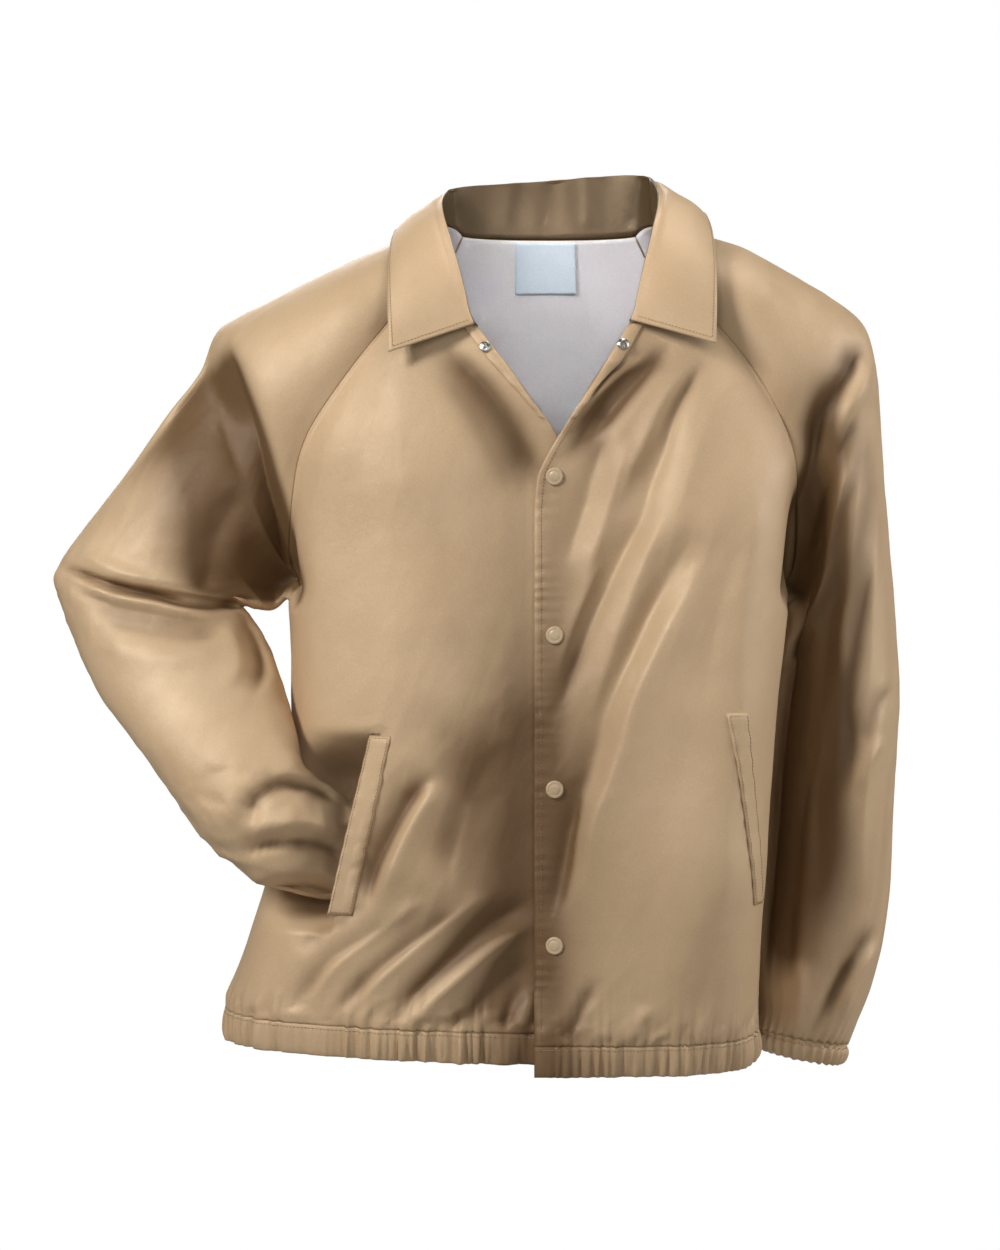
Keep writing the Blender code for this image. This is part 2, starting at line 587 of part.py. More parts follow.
def wall_object(name, points, faces, normals, thick, colour, gap=SEAM_GAP / 2, rough=0.6):
    """A closed wall of cloth: the sheet as its outer side, an inner side below it and a rim between."""
    outer = drawn_in(points, faces, normals, gap)
    inner = outer - normals * thick
    count = len(points)
    rim = border_edges(faces)
    rims = np.stack([rim[:, 1], rim[:, 0], rim[:, 0] + count, rim[:, 1] + count], -1)
    sides = in_triangles(outer, faces)
    used = np.unique(np.concatenate([sides.ravel(), sides.ravel() + count]))
    renumbered = np.zeros(2 * count, int)
    renumbered[used] = np.arange(len(used))
    every_face = []
    for side in (sides, sides[:, ::-1] + count, rims):
        every_face += renumbered[side].tolist()
    mesh = bpy.data.meshes.new(name)
    mesh.from_pydata(np.concatenate([outer, inner])[used].tolist(), [], every_face)
    return finished(name, mesh, colour, rough)


def finished(name, mesh, colour, rough=0.6, metallic=0.0):
    """The object of a mesh, smooth, with a plain material of its own, in the jacket's collection."""
    mesh.shade_smooth()
    mesh.set_sharp_from_angle(angle=0.9)
    material = bpy.data.materials.new(name)
    material.use_nodes = True
    shader = material.node_tree.nodes["Principled BSDF"]
    shader.inputs["Base Color"].default_value = (*colour, 1)
    shader.inputs["Roughness"].default_value = rough
    shader.inputs["Metallic"].default_value = metallic
    mesh.materials.append(material)
    obj = bpy.data.objects.new(name, mesh)
    bpy.data.collections["coach_jacket"].objects.link(obj)
    return obj


def sheet_of(grid, skipped=(), flipped=False):
    """A grid of points as a welded sheet whose faces point outwards."""
    rows, columns = grid.shape[:2]
    faces = grid_faces(rows, columns, skipped)
    if flipped:
        faces = faces[:, ::-1]
    return welded(grid.reshape(-1, 3), faces)


def on_panel(side, angle, height, lift):
    """Points of a front's faces at these angles and heights, moved out by lift, and the ways out."""
    angles, heights = front_grid(side)
    grid = torso(angles, heights, overlap_step(side, angles, heights))
    outer = torso(angles, heights, overlap_step(side, angles, heights) + 1.0)
    row, column = located(angles, heights, angle, height)
    out = unit(between_points(outer - grid, row, column))
    return between_points(grid, row, column) + out * np.broadcast_to(lift, row.shape)[..., None], out


def front_sheet(side):
    """A front's outer side. The wearer's right one has the pocket's open mouth and the dent beside it."""
    angle, height = front_grid(side)
    step = overlap_step(side, angle, height)
    grid = torso(angle, height, step)
    skipped = []
    if side < 0:
        grid[..., 1] += pocket_dent(grid, POCKET_COLUMN + 1)
        middle = (height[:-1, POCKET_COLUMN] + height[1:, POCKET_COLUMN]) / 2
        open_rows = np.flatnonzero((middle > RIGHT_WELT["height"][0]) & (middle < RIGHT_WELT["height"][1]))
        skipped = [(row, POCKET_COLUMN) for row in open_rows]
    return sheet_of(grid, skipped, flipped=side < 0)


def sleeve_stations(sleeve):
    """Stations down a sleeve: those of the raglan seam first, then the table's own."""
    free = sleeve["station"][sleeve["station"] > 1]
    return np.concatenate([raglan_stations(), free])


def sleeve_grid(sleeve, folds, side):
    """A sleeve's points: rows from the neck to the cuff, columns from the front seam to the back one."""
    round_share = np.linspace(0, 1, SLEEVE_COLUMNS + 1)
    station, share = np.meshgrid(sleeve_stations(sleeve), round_share, indexing="ij")
    grid = sleeve_points(sleeve, folds, side, station, share)
    closed = station[:, 0] >= 1
    grid[closed, -1] = grid[closed, 0]
    return grid


def shell_sheets():
    """The outer sides of the five main pieces, which meet at the side, underarm and raglan seams."""
    return {
        "left_front": front_sheet(1),
        "right_front": front_sheet(-1),
        "back": sheet_of(torso(*back_grid())),
        "left_sleeve": sheet_of(sleeve_grid(LEFT_SLEEVE, LEFT_SLEEVE_FOLDS, 1), flipped=True),
        "right_sleeve": sheet_of(sleeve_grid(RIGHT_SLEEVE, RIGHT_SLEEVE_FOLDS, -1)),
    }


def single_wall(name, grid, thick=CLOTH, colour=TAN, flipped=False, gap=SEAM_GAP / 2, rough=0.6):
    """A wall from one grid of points that shares no seam's normals."""
    points, faces = sheet_of(grid, flipped=flipped)
    normals = unit(vertex_normals(points, faces))
    return wall_object(name, points, faces, normals, thick, colour, gap, rough)


def gathers(angle, share_down, waves, deep):
    """The gathered cloth's ripple: uneven waves that start at the seam and are full at the edge."""
    uneven = 0.65 + 0.35 * np.sin(angle * 3.1 + 0.7) * np.sin(angle * 7.3)
    return deep * uneven * np.sin(angle * waves + 0.8 * np.sin(angle * 5.0)) * ease(share_down, 0.0, 0.6)


def casing(name, side):
    """The hem's gathered casing under one panel, from the panel's own lower edge down to the hem."""
    angles, heights = front_grid(side) if side else back_grid()
    hem = {1: LEFT_HEM, -1: RIGHT_HEM, 0: BACK_HEM}[side]
    parts = 5 if side else 4
    column = np.arange(parts * (angles.shape[1] - 1) + 1) / parts
    given = np.arange(angles.shape[1])
    share = column / column[-1]
    angle = np.interp(column, given, angles[0])
    top = np.interp(column, given, heights[0])
    bottom = follow(share, hem["share"], hem["height"])
    down = np.array([0.0, 0.5, 1.0])[:, None]
    height = top + (bottom - top) * down
    step = overlap_step(side, angle, height) if side else 0.0
    ends = ease(share, 0.0, 0.04) * (1 - ease(share, 0.96, 1.0))
    ripple = gathers(angle, down, 40.0, 0.0024) * ends
    grid = torso(angle, height, step + ripple)
    panel_step = overlap_step(side, angles[0], heights[0]) if side else 0.0
    panel_edge = torso(angles[0], heights[0], panel_step)
    edge = np.stack([np.interp(column, given, panel_edge[:, axis]) for axis in range(3)], -1)
    return single_wall(name, grid + edge - grid[0], CLOTH + 0.0002, flipped=side >= 0)


def cuff(name, sleeve, folds, side, move, waves, count):
    """An elastic cuff: a gathered ring from the sleeve's last ring along a move."""
    station = np.full(count + 1, sleeve["station"][-1])
    share = np.linspace(0, 1, count + 1)
    ring = sleeve_points(sleeve, folds, side, station, share)
    ring[-1] = ring[0]
    centre = ring[:-1].mean(0)
    down = np.array([0.0, 0.5, 1.0])[:, None]
    ripple = 0.0013 * np.sin(share * 2 * np.pi * waves) * ease(down, 0.0, 0.5)
    shrink = 1 - 0.05 * down
    seam_step = unit(np.array(move)) * SEAM_GAP
    grid = centre + (ring - centre) * shrink[..., None] + np.array(move) * down[..., None]
    grid = grid + unit(ring - centre) * ripple[..., None] + seam_step
    grid[:, -1] = grid[:, 0]
    return single_wall(name, grid, 0.0016, flipped=side > 0)


def welt(name, side):
    """A pocket's welt: a strip of even width that lies on the front, slanting down towards the side."""
    line = LEFT_WELT if side > 0 else RIGHT_WELT
    height = np.linspace(line["height"][0], line["height"][1], 13)[:, None]
    across = np.linspace(0, WELT_WIDE, 5)
    angle = moved_round(welt_line(side, height), height, side * across)
    edges = np.array([0.0, 1.0, 1.0, 1.0, 0.4])
    lift = WELT_LIFT + 0.0010 * edges
    points, _ = on_panel(side, angle, height, lift)
    return single_wall(name, points, WELT_CLOTH, flipped=side < 0)


def rolled_facing(name, side):
    """The strip of facing that rolls out over a front's open edge, widest at the collar."""
    edge = LEFT_EDGE if side > 0 else RIGHT_EDGE
    top = edge["height"][-1] - 0.004
    height = np.linspace(-0.160, top, 9)[:, None]
    start = angle_of_x(follow(height, edge["height"], edge["x"]), height)
    start = moved_round(start, height, side * 0.0015)
    wide = 0.006 + 0.010 * ease(height, -0.160, -0.110)
    across = np.linspace(0, 1, 4)
    angle = moved_round(start, height, side * across * wide)
    points, _ = on_panel(side, angle, height, 0.0022 + 0.0016 * np.sin(across * np.pi * 0.7))
    return single_wall(name, points, CLOTH, flipped=side < 0)


def picked(points, cells):
    """Some of a row's points, evenly spread, with both its ends."""
    return points[np.round(np.linspace(0, len(points) - 1, cells + 1)).astype(int)]


def neckline():
    """Points of the neck edge from the wearer's right front end round the back to the left one."""
    runs = []
    for side in (-1, 1):
        angle, height = front_grid(side)
        front = torso(angle[-1], height[-1], overlap_step(side, angle[-1], height[-1]))
        sleeve = RIGHT_SLEEVE if side < 0 else LEFT_SLEEVE
        folds = RIGHT_SLEEVE_FOLDS if side < 0 else LEFT_SLEEVE_FOLDS
        over = sleeve_grid(sleeve, folds, side)[0]
        runs.append(np.concatenate([picked(front, 6), picked(over, 8)[1:]]))
    angle, height = back_grid()
    back = picked(torso(angle[-1], height[-1]), 8)
    return np.concatenate([runs[0], back[::-1][1:-1], runs[1][::-1]])


def collar_grid():
    """The collar: at each station a stand up from the neckline, a rounded fold and a leaf down."""
    seam = neckline()
    length = np.concatenate([[0], np.cumsum(np.linalg.norm(np.diff(seam, axis=0), axis=1))])
    share = length / length[-1]
    half = 1 - np.abs(2 * share - 1)
    side = np.sign(share - 0.5)
    seam = seam - unit(seam * (1, 1, 0)) * COLLAR_INSET
    seam[:, 2] += COLLAR_LIFT
    fold = np.stack([follow(half, COLLAR["share"], COLLAR["fold_" + axis]) for axis in "xyz"], -1)
    edge = np.stack([follow(half, COLLAR["share"], COLLAR["edge_" + axis]) for axis in "xyz"], -1)
    tilt = np.interp(half, COLLAR_TILT["share"], COLLAR_TILT["tilt"])
    for line in (fold, edge):
        line[:, 0] *= side
        line[:, 2] += tilt * line[:, 0]
    stand, leaf = unit(seam - fold), unit(edge - fold)
    away = np.minimum(FOLD_ROUND, 0.5 * np.linalg.norm(seam - fold, axis=1))[:, None]
    puff = unit(leaf - stand) * ease(half, 0.0, 0.25)[:, None] * LEAF_PUFF
    bulge = fold * 0.45 + edge * 0.55 + puff
    rows = [
        seam,
        (seam + fold + stand * away) / 2,
        fold + stand * away,
        fold + (stand + leaf) * away * 0.22,
        fold + leaf * away,
        fold * 0.62 + bulge * 0.38 + puff * 0.4,
        bulge,
        bulge * 0.45 + edge * 0.55 + puff * 0.2,
        edge,
    ]
    return np.stack(rows)


def label_grid():
    """The blank label at the back neck: it hangs just inside the lining."""
    x = np.linspace(-LABEL_WIDE / 2, LABEL_WIDE / 2, 5) - 0.003
    down = np.linspace(0, 1, 4)[:, None]
    height = 0.004 - LABEL_TALL * down
    angle = np.pi - angle_of_x(x, height)
    return torso(angle, height, -LABEL_INSET - 0.0030 * down)


def snap(name, point, normal, radius, tall, hole=0.0, colour=TAN, metallic=0.0):
    """A round snap part turned about its axis: a flat back, a rolled rim and a low dome, or an open ring."""
    if hole:
        profile = [(hole, tall), (radius * 0.85, tall), (radius, tall * 0.6), (radius, 0.0), (hole, 0.0)]
    else:
        profile = [(radius * out, tall * up) for out, up in CAP_PROFILE]
    mesh = bpy.data.meshes.new(name)
    build = bmesh.new()
    verts = [build.verts.new((r, 0.0, z)) for r, z in profile]
    edges = [build.edges.new(pair) for pair in zip(verts, verts[1:])]
    if hole:
        edges.append(build.edges.new((verts[-1], verts[0])))
    centre, axis = (0, 0, 0), (0, 0, 1)
    whole = 2 * np.pi
    bmesh.ops.spin(
        build, geom=verts + edges, cent=centre, axis=axis, angle=whole, steps=SNAP_SIDES, use_merge=True
    )
    bmesh.ops.remove_doubles(build, verts=build.verts, dist=1e-6)
    bmesh.ops.recalc_face_normals(build, faces=build.faces)
    build.to_mesh(mesh)
    build.free()
    obj = finished(name, mesh, colour, 0.4, metallic)
    obj.rotation_mode = "QUATERNION"
    obj.rotation_quaternion = Vector(normal).to_track_quat("Z", "Y")
    obj.location = Vector(point)
    return obj


def clear_scene():
    for obj in list(bpy.data.objects):
        bpy.data.objects.remove(obj)
    jacket = bpy.data.collections.new("coach_jacket")
    bpy.context.scene.collection.children.link(jacket)


def make_shell():
    sheets = shell_sheets()
    normals = shared_normals(list(sheets.values()))
    for (name, (points, faces)), normal in zip(sheets.items(), normals):
        wall_object(name, points, faces, normal, CLOTH, TAN)


def lining_grid():
    """The lining's points: the back's own above the armpits, moved in, and closest to it at the neckline."""
    angle, height = back_grid()
    upper = slice(ROWS_BELOW_ARMPIT, None)
    angle, height = angle[upper, 1:-1], height[upper, 1:-1]
    down = np.linspace(1, 0, len(angle))[:, None]
    return torso(angle, height, -CLOTH - 0.0006 - 0.0030 * ease(down, 0.0, 0.35))


def make_lining():
    single_wall("back_lining", lining_grid(), LINING_CLOTH, GREY, gap=0.0)


def make_trims():
    single_wall("collar", collar_grid(), 0.0015, flipped=False)
    casing("left_front_casing", 1)
    casing("right_front_casing", -1)
    casing("back_casing", 0)
    cuff("left_cuff", LEFT_SLEEVE, LEFT_SLEEVE_FOLDS, 1, LEFT_CUFF_MOVE, 18, 64)
    cuff("right_cuff", RIGHT_SLEEVE, RIGHT_SLEEVE_FOLDS, -1, RIGHT_CUFF_MOVE, 12, 40)
    welt("left_welt", 1)
    welt("right_welt", -1)
    rolled_facing("left_facing", 1)
    rolled_facing("right_facing", -1)
    single_wall("neck_label", label_grid(), 0.0010, WHITE, gap=0.0)


def seat(side, x, height, radius):
    """Where a snap part's flat back just clears the panel's highest place below it, and the way out there."""
    point, normal = on_panel(side, angle_of_x(x, height), height, 0.0)
    turn = np.linspace(0, 2 * np.pi, 24, endpoint=False)
    near_x, near_height = x + radius * np.cos(turn), height + radius * np.sin(turn)
    near, _ = on_panel(side, angle_of_x(near_x, near_height), near_height, 0.0)
    rise = ((near - point) * normal).sum(-1).max()
    return point + normal * (max(rise, 0.0) + SNAP_LIFT), normal


def make_snaps():
    for number, height in enumerate(SNAP_HEIGHTS, start=1):
        snap(f"snap_{number}", *seat(1, SNAP_LINE, height, SNAP_RADIUS), SNAP_RADIUS, SNAP_TALL)
    point, normal = on_panel(1, angle_of_x(0.0585, -0.1035), -0.1035, 0.0062)
    snap("open_socket", point, normal, 0.0052, 0.0020, hole=0.0024, colour=STEEL, metallic=1.0)
    point, normal = on_panel(-1, angle_of_x(-0.0555, -0.1055), -0.1055, 0.0062)
    snap("open_stud", point, normal, 0.0048, 0.0024, colour=STEEL, metallic=1.0)


clear_scene()
make_shell()
make_lining()
make_trims()
make_snaps()
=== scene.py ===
import bpy
import numpy as np
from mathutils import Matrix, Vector


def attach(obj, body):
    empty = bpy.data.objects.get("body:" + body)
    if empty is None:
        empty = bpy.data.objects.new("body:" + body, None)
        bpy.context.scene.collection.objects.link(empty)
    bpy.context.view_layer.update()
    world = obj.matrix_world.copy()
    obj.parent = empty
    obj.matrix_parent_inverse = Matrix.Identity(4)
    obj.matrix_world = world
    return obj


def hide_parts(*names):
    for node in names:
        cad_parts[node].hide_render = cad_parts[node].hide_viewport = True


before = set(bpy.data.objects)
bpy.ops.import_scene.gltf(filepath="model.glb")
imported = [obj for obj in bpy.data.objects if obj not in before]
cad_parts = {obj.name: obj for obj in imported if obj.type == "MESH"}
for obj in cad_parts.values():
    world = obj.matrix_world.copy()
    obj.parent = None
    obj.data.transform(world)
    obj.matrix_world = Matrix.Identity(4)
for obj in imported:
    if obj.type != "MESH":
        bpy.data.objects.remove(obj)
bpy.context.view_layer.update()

# A tan coach jacket of thin nylon with a grey lining, filled out as worn, its right cuff in its pocket.
# Metres, +Z up; the front faces -Y and the wearer's left is +X.

CLOTH = 0.0011
THIN_CLOTH = 0.0009
LINING_CLOTH = 0.0008
WELT_CLOTH = 0.0012
COLLAR_CLOTH = 0.0015
WELD_DISTANCE = 0.00002
WELD_CELLS_PER_METRE = 2e4
ARMPIT_HEIGHT = -0.320
CASING_DEEP = 0.026
OVERLAP_STEP = 0.0042
LEFT_OVERLAP = (0.012, 0.045)
RIGHT_OVERLAP = (-0.045, -0.018)
VALLEY_DEEP = 0.022
VALLEY_WIDE = (0.062, 0.100)
VALLEY_LINE = -0.012
SNAP_HEIGHTS = (-0.213, -0.345, -0.473, -0.603)
SNAP_LINE = 0.002
WELT_WIDE = 0.021
MOUTH_WIDE = 0.007
DENT_DEEP = 0.085
DENT_WIDE = 0.050
LEFT_UNDERARM_CUSP = 0.25
RIGHT_UNDERARM_CUSP = 0.85
FOLD_ROUND = 0.0075
LEAF_PUFF = 0.0055
LABEL_WIDE = 0.054
LABEL_TALL = 0.044
LABEL_INSET = 0.0035
ELBOW_HEIGHT = -0.290
FASTENED_TOP = -0.235
NECK_DIP = 0.002
SEAM_REACH = (0.010, 0.045)
BORDER_FADE = 0.012
# Crease depths over which the painted shade in the cloth's colour grows from none to full.
PAINTED_SHADE_DEPTHS = (0.0006, 0.011)
SEAM_SMOOTHING = 60
ARMPIT_SMOOTHING = 30
NORMAL_SMOOTHING = 5
COLLAR_SMOOTHING = 60

FRONT_COLUMNS = 140
POCKET_COLUMN = 88
MOUTH_COLUMNS = 3
WELT_ROWS = 60
BACK_COLUMNS = 150
ROWS_BELOW_ARMPIT = 150
RAGLAN_ROWS = 90
SEAM_CROWDING = 1.25
SLEEVE_COLUMNS = 150
SLEEVE_ROWS = 160

UNITLESS = {"station", "share", "square", "tilt"}


def table(columns, *rows):
    """The named columns of a short table as arrays, with lengths brought from millimetres to metres."""
    values = np.array(rows, float).T
    return {name: cells / (1 if name in UNITLESS else 1000) for name, cells in zip(columns.split(), values)}


# Half widths and depths of the body's rings, wearer's left and right apart.
TORSO = table(
    "height left right front back square",
    (-720, 175, 285, 118, 112, 2.7),
    (-690, 177, 283, 124, 118, 2.8),
    (-655, 179, 277, 132, 124, 2.9),
    (-610, 181, 262, 138, 127, 3),
    (-530, 185, 238, 141, 126, 3),
    (-450, 190, 222, 141, 123, 3),
    (-350, 200, 224, 139, 121, 2.9),
    (-280, 210, 228, 136, 119, 2.8),
    (-200, 220, 228, 129, 117, 3),
    (-130, 202, 202, 115, 111, 3.2),
    (-80, 165, 165, 98, 99, 3.3),
    (-30, 127, 127, 78, 83, 3),
    (20, 110, 110, 62, 66, 2.6),
)
# Where each raglan seam runs: its height, and its share of the ring's half width, from neck to armpit.
FRONT_RAGLAN = table(
    "station height share",
    (0, -32, 0.78),
    (0.2, -75, 0.815),
    (0.4, -120, 0.85),
    (0.6, -175, 0.915),
    (0.8, -240, 0.965),
    (1, ARMPIT_HEIGHT * 1000, 1),
)
BACK_RAGLAN = table(
    "station height share",
    (0, 9, 0.68),
    (0.2, -50, 0.78),
    (0.4, -105, 0.835),
    (0.6, -165, 0.87),
    (0.8, -235, 0.925),
    (1, ARMPIT_HEIGHT * 1000, 1),
)
# The front edges: straight where the snaps are fastened, then opening in a V up to the collar's ends.
LEFT_EDGE = table(
    "height x",
    (-720, -15), (-250, -15), (-215, -12.5), (-195, -4),
    (-175, 8), (-150, 23.5), (-120, 42.5), (-83, 65),
)
RIGHT_EDGE = table(
    "height x",
    (-720, 16), (-220, 16), (-195, 12), (-175, 2),
    (-150, -16), (-120, -37), (-87, -62),
)
# The hem's height under each panel, from its first column to its last.
LEFT_HEM = table("share height", (0, -713), (0.5, -713), (0.85, -708), (1, -700))
RIGHT_HEM = table("share height", (0, -704.5), (0.4, -699), (1, -690))
BACK_HEM = table("share height", (0, -700), (0.5, -703), (1, -690))
# Each pocket's welt: the line of its rear or front edge that is nearer the centre, top and bottom.
LEFT_WELT = table("height x", (-571, 165.5), (-409, 140))
RIGHT_WELT = table("height x", (-577, -166.4), (-428, -132.4))
FRONT_TABLES = {1: (LEFT_EDGE, LEFT_HEM, LEFT_WELT), -1: (RIGHT_EDGE, RIGHT_HEM, RIGHT_WELT)}

# Sleeves, neck to cuff: outer line, inner line and half depth. Up to station 1 the inner line is the seams.
SLEEVE_NAMES = "station outer_x outer_y outer_z inner_x inner_y inner_z deep"
LEFT_SLEEVE = table(
    SLEEVE_NAMES,
    (0, 100, 0, 6, 0, 0, 0, 64),
    (0.2, 147, 0, -2, 0, 0, 0, 82),
    (0.4, 195, 0, -24, 0, 0, 0, 91),
    (0.6, 239, 1, -50, 0, 0, 0, 90),
    (0.8, 275, 5, -81, 0, 0, 0, 86),
    (1, 287, 12, -133, 204.8, 0, ARMPIT_HEIGHT * 1000, 86),
    (1.3, 291, 20, -195, 202, 12, -352, 89),
    (1.6, 296, 28, -250, 198, 35, -380, 88),
    (2, 303, 35, -320, 192.5, 45, -420, 86),
    (2.4, 307, 38, -390, 189, 46, -465, 83),
    (2.8, 304, 38, -465, 185.5, 46, -515, 80),
    (3.2, 300, 35, -540, 183, 44, -570, 77),
    (3.6, 293, 32, -610, 181, 40, -620, 72),
    (3.85, 282, 31, -655, 180, 35, -652, 63),
    (4, 271, 30, -682, 184, 32, -674, 53),
    (4.12, 262, 30, -704, 182, 30, -690, 40),
)
RIGHT_SLEEVE = table(
    SLEEVE_NAMES,
    (0, -100, 0, 6, 0, 0, 0, 64),
    (0.2, -143, 0, -8, 0, 0, 0, 81),
    (0.4, -190, 0, -29, 0, 0, 0, 89),
    (0.6, -241, 1, -55, 0, 0, 0, 88),
    (0.8, -289, 3, -80, 0, 0, 0, 82),
    (1, -307, 6, -112, -225.3, 0, ARMPIT_HEIGHT * 1000, 75),
    (1.3, -350, 14, -176, -243, 4, -323.5, 70),
    (1.6, -393, 20, -234, -253, 4, -322.5, 67),
    (1.85, -428, 22, -282, -262, 2, -319, 66),
    (2, -434.5, 20, -296, -267, 0, -320.5, 60),
    (2.15, -431, 16, -308, -262, -4, -327, 65),
    (2.4, -415.5, 0, -342, -250, -14, -344, 63),
    (2.7, -390, -28, -392, -237, -34, -367, 57),
    (3, -355.3, -58, -434, -222.5, -62, -404.5, 52),
    (3.3, -320.2, -84, -475, -213.5, -86, -432, 46),
    (3.6, -288.9, -100, -516, -208, -102, -452, 40),
    (3.85, -259.6, -102, -541.8, -197, -100, -466, 35),
    (4.1, -226, -90, -558.8, -182, -88, -478, 29),
    (4.3, -193, -74, -566, -165, -72, -490, 21),
    (4.5, -164, -70, -560, -140, -69, -496, 21),
    (4.7, -138, -69, -553, -116, -68, -498, 21),
)
# The cuff's far ring, as a move of the sleeve's last ring.
LEFT_CUFF_MOVE = (-0.0015, 0.0, -0.018)
RIGHT_CUFF_MOVE = (0.018, 0.001, 0.002)

# The cut collar, from a front end to the centre back: the fold's and the outer edge's places.
COLLAR = table(
    "share fold_x fold_y fold_z edge_x edge_y edge_z",
    (0, 64, -108, -83, 136, -120, -106),
    (0.12, 70.5, -101, -50, 137, -109, -80),
    (0.25, 81.5, -76, -8, 138, -85, -39),
    (0.4, 89.5, -40, 23, 137, -45, -4),
    (0.52, 91.5, -8, 38, 133, -8, 12),
    (0.68, 88, 38, 56, 118, 64, 10),
    (0.84, 58, 65, 63, 70, 100, -1),
    (1, 0, 72, 63.5, 0, 113, -6),
)
COLLAR_TILT = table("share tilt", (0, 0.025), (1, 0.08))


def slopes_of(at, values):
    """Slopes for a curve that never swings past its points: the harmonic mean of the runs beside each."""
    steps = np.diff(at)
    runs = np.diff(values) / steps
    inner = np.zeros(len(at) - 2)
    same_way = runs[:-1] * runs[1:] > 0
    pairs = runs[:-1][same_way], runs[1:][same_way]
    inner[same_way] = 2 * pairs[0] * pairs[1] / (pairs[0] + pairs[1])
    return np.concatenate([runs[:1], inner, runs[-1:]])


def follow(where, at, values):
    """The smooth cubic curve through a table's rows, read at any places."""
    where = np.clip(where, at[0], at[-1])
    slopes = slopes_of(at, values)
    low = np.clip(np.searchsorted(at, where, side="right") - 1, 0, len(at) - 2)
    step = at[low + 1] - at[low]
    t = (where - at[low]) / step
    start = (1 + 2 * t) * (1 - t) ** 2 * values[low] + t * (1 - t) ** 2 * step * slopes[low]
    end = t**2 * (3 - 2 * t) * values[low + 1] + t**2 * (t - 1) * step * slopes[low + 1]
    return start + end


def place_of(table, kind, where, rows=slice(None)):
    """The smooth curve through the points that a table's x, y and z columns of one kind give."""
    at = next(iter(table.values()))[rows]
    return np.stack([follow(where, at, table[kind + axis][rows]) for axis in "xyz"], -1)


def ease(value, low, high):
    """0 up to low, 1 from high on, and a smooth step between."""
    t = np.clip((value - low) / (high - low), 0.0, 1.0)
    return t * t * (3 - 2 * t)


def bell(value, middle, wide):
    """A bell curve: 1 at its middle and about a third at its width from there."""
    return np.exp(-(((value - middle) / wide) ** 2))


def ring_sizes(height):
    """The ring's half widths, half depths and squareness at a height."""
    return [follow(height, TORSO["height"], TORSO[name]) for name in "left right front back square".split()]


# Creases of the cloth, as lines seen from the front. Bend moves the middle of a line sideways, and left and
# right are its widths on its two sides as it runs.
CREASE_NAMES = "start_x start_z end_x end_z bend left right deep"
FRONT_CREASES = table(
    CREASE_NAMES,
    (-103, -458, -157, -573, 5, 7, 20, -11),
    (-93, -463, -144, -567, 5, 12, 7, 6.5),
    (-157, -567, -208, -613, 4, 8, 10, -5),
    (-122, -573, -222, -660, 7, 10, 9, -8.5),
    (-109, -565, -208, -654, 7, 6, 8, 6.5),
    (-68, -567, -184, -664, 8, 9, 9, -8.5),
    (-55, -562, -166, -656, 8, 6, 8, 6),
    (-16, -567, -138, -670, 9, 12, 12, -10),
    (-14, -588, -124, -675, 8, 7, 10, 7),
    (-16, -617, -93, -685, 5, 10, 12, -7),
    (-16, -637, -39, -700, 0, 5, 7, 5),
    (-25, -633, -52, -697, 2, 6, 8, -5),
    (-81, -398, -109, -547, 0, 40, 40, -5),
    (-43, -431, -93, -563, 5, 14, 20, -3.5),
    (-63, -473, -83, -563, 3, 6, 8, 2),
    (-6, -349, -17, -695, 0, 40, 62, -7),
    (-133, -283, -126, -563, 0, 40, 40, 4),
    (168, -176, 131, -654, 0, 42, 84, 24),
    (-96, -97, -1, -233, -7, 14, 22, -9.5),
    (80, -102, 8, -212, 3, 14, 13, -8),
    (-93, -128, -31, -233, -4, 16, 18, -3),
    (-126, -118, -128, -250, 0, 20, 25, 2),
    (-101, -217, -68, -398, 0, 30, 40, -3),
    (-208, -217, -194, -398, 2, 16, 22, 2),
    (105, -100, 29, -184, 3, 9, 12, -7.5),
    (84, -106, 18, -167, 3, 5, 7, 4.5),
    (60, -111, 8, -184, 2, 6, 8, -5.5),
    (131, -110, 72, -250, 6, 8, 14, -8),
    (121, -111, 54, -233, 5, 6, 8, 5.5),
    (150, -128, 95, -283, 8, 16, 20, 6),
    (47, -176, 11, -283, 2, 8, 11, -5),
    (64, -184, 26, -308, 3, 9, 10, 4.5),
    (80, -233, 6, -415, 6, 8, 12, -8.5),
    (98, -233, 31, -431, 6, 18, 11, 7),
    (39, -283, 3, -382, 2, 5, 7, 3.5),
    (113, -266, 4, -567, 14, 10, 15, -11),
    (126, -283, 22, -567, 14, 22, 9, 8),
    (79, -349, 11, -530, 7, 9, 9, 3.5),
    (26, -481, 0, -588, 2, 6, 9, -6),
    (156, -250, 121, -415, 4, 16, 22, -4),
    (121, -398, 72, -646, 8, 26, 30, -3.5),
    (154, -563, 113, -679, 4, 12, 14, -3.5),
    (39, -633, 8, -695, 3, 8, 8, -4.5),
    (80, -654, 62, -697, 2, 7, 8, 3),
)
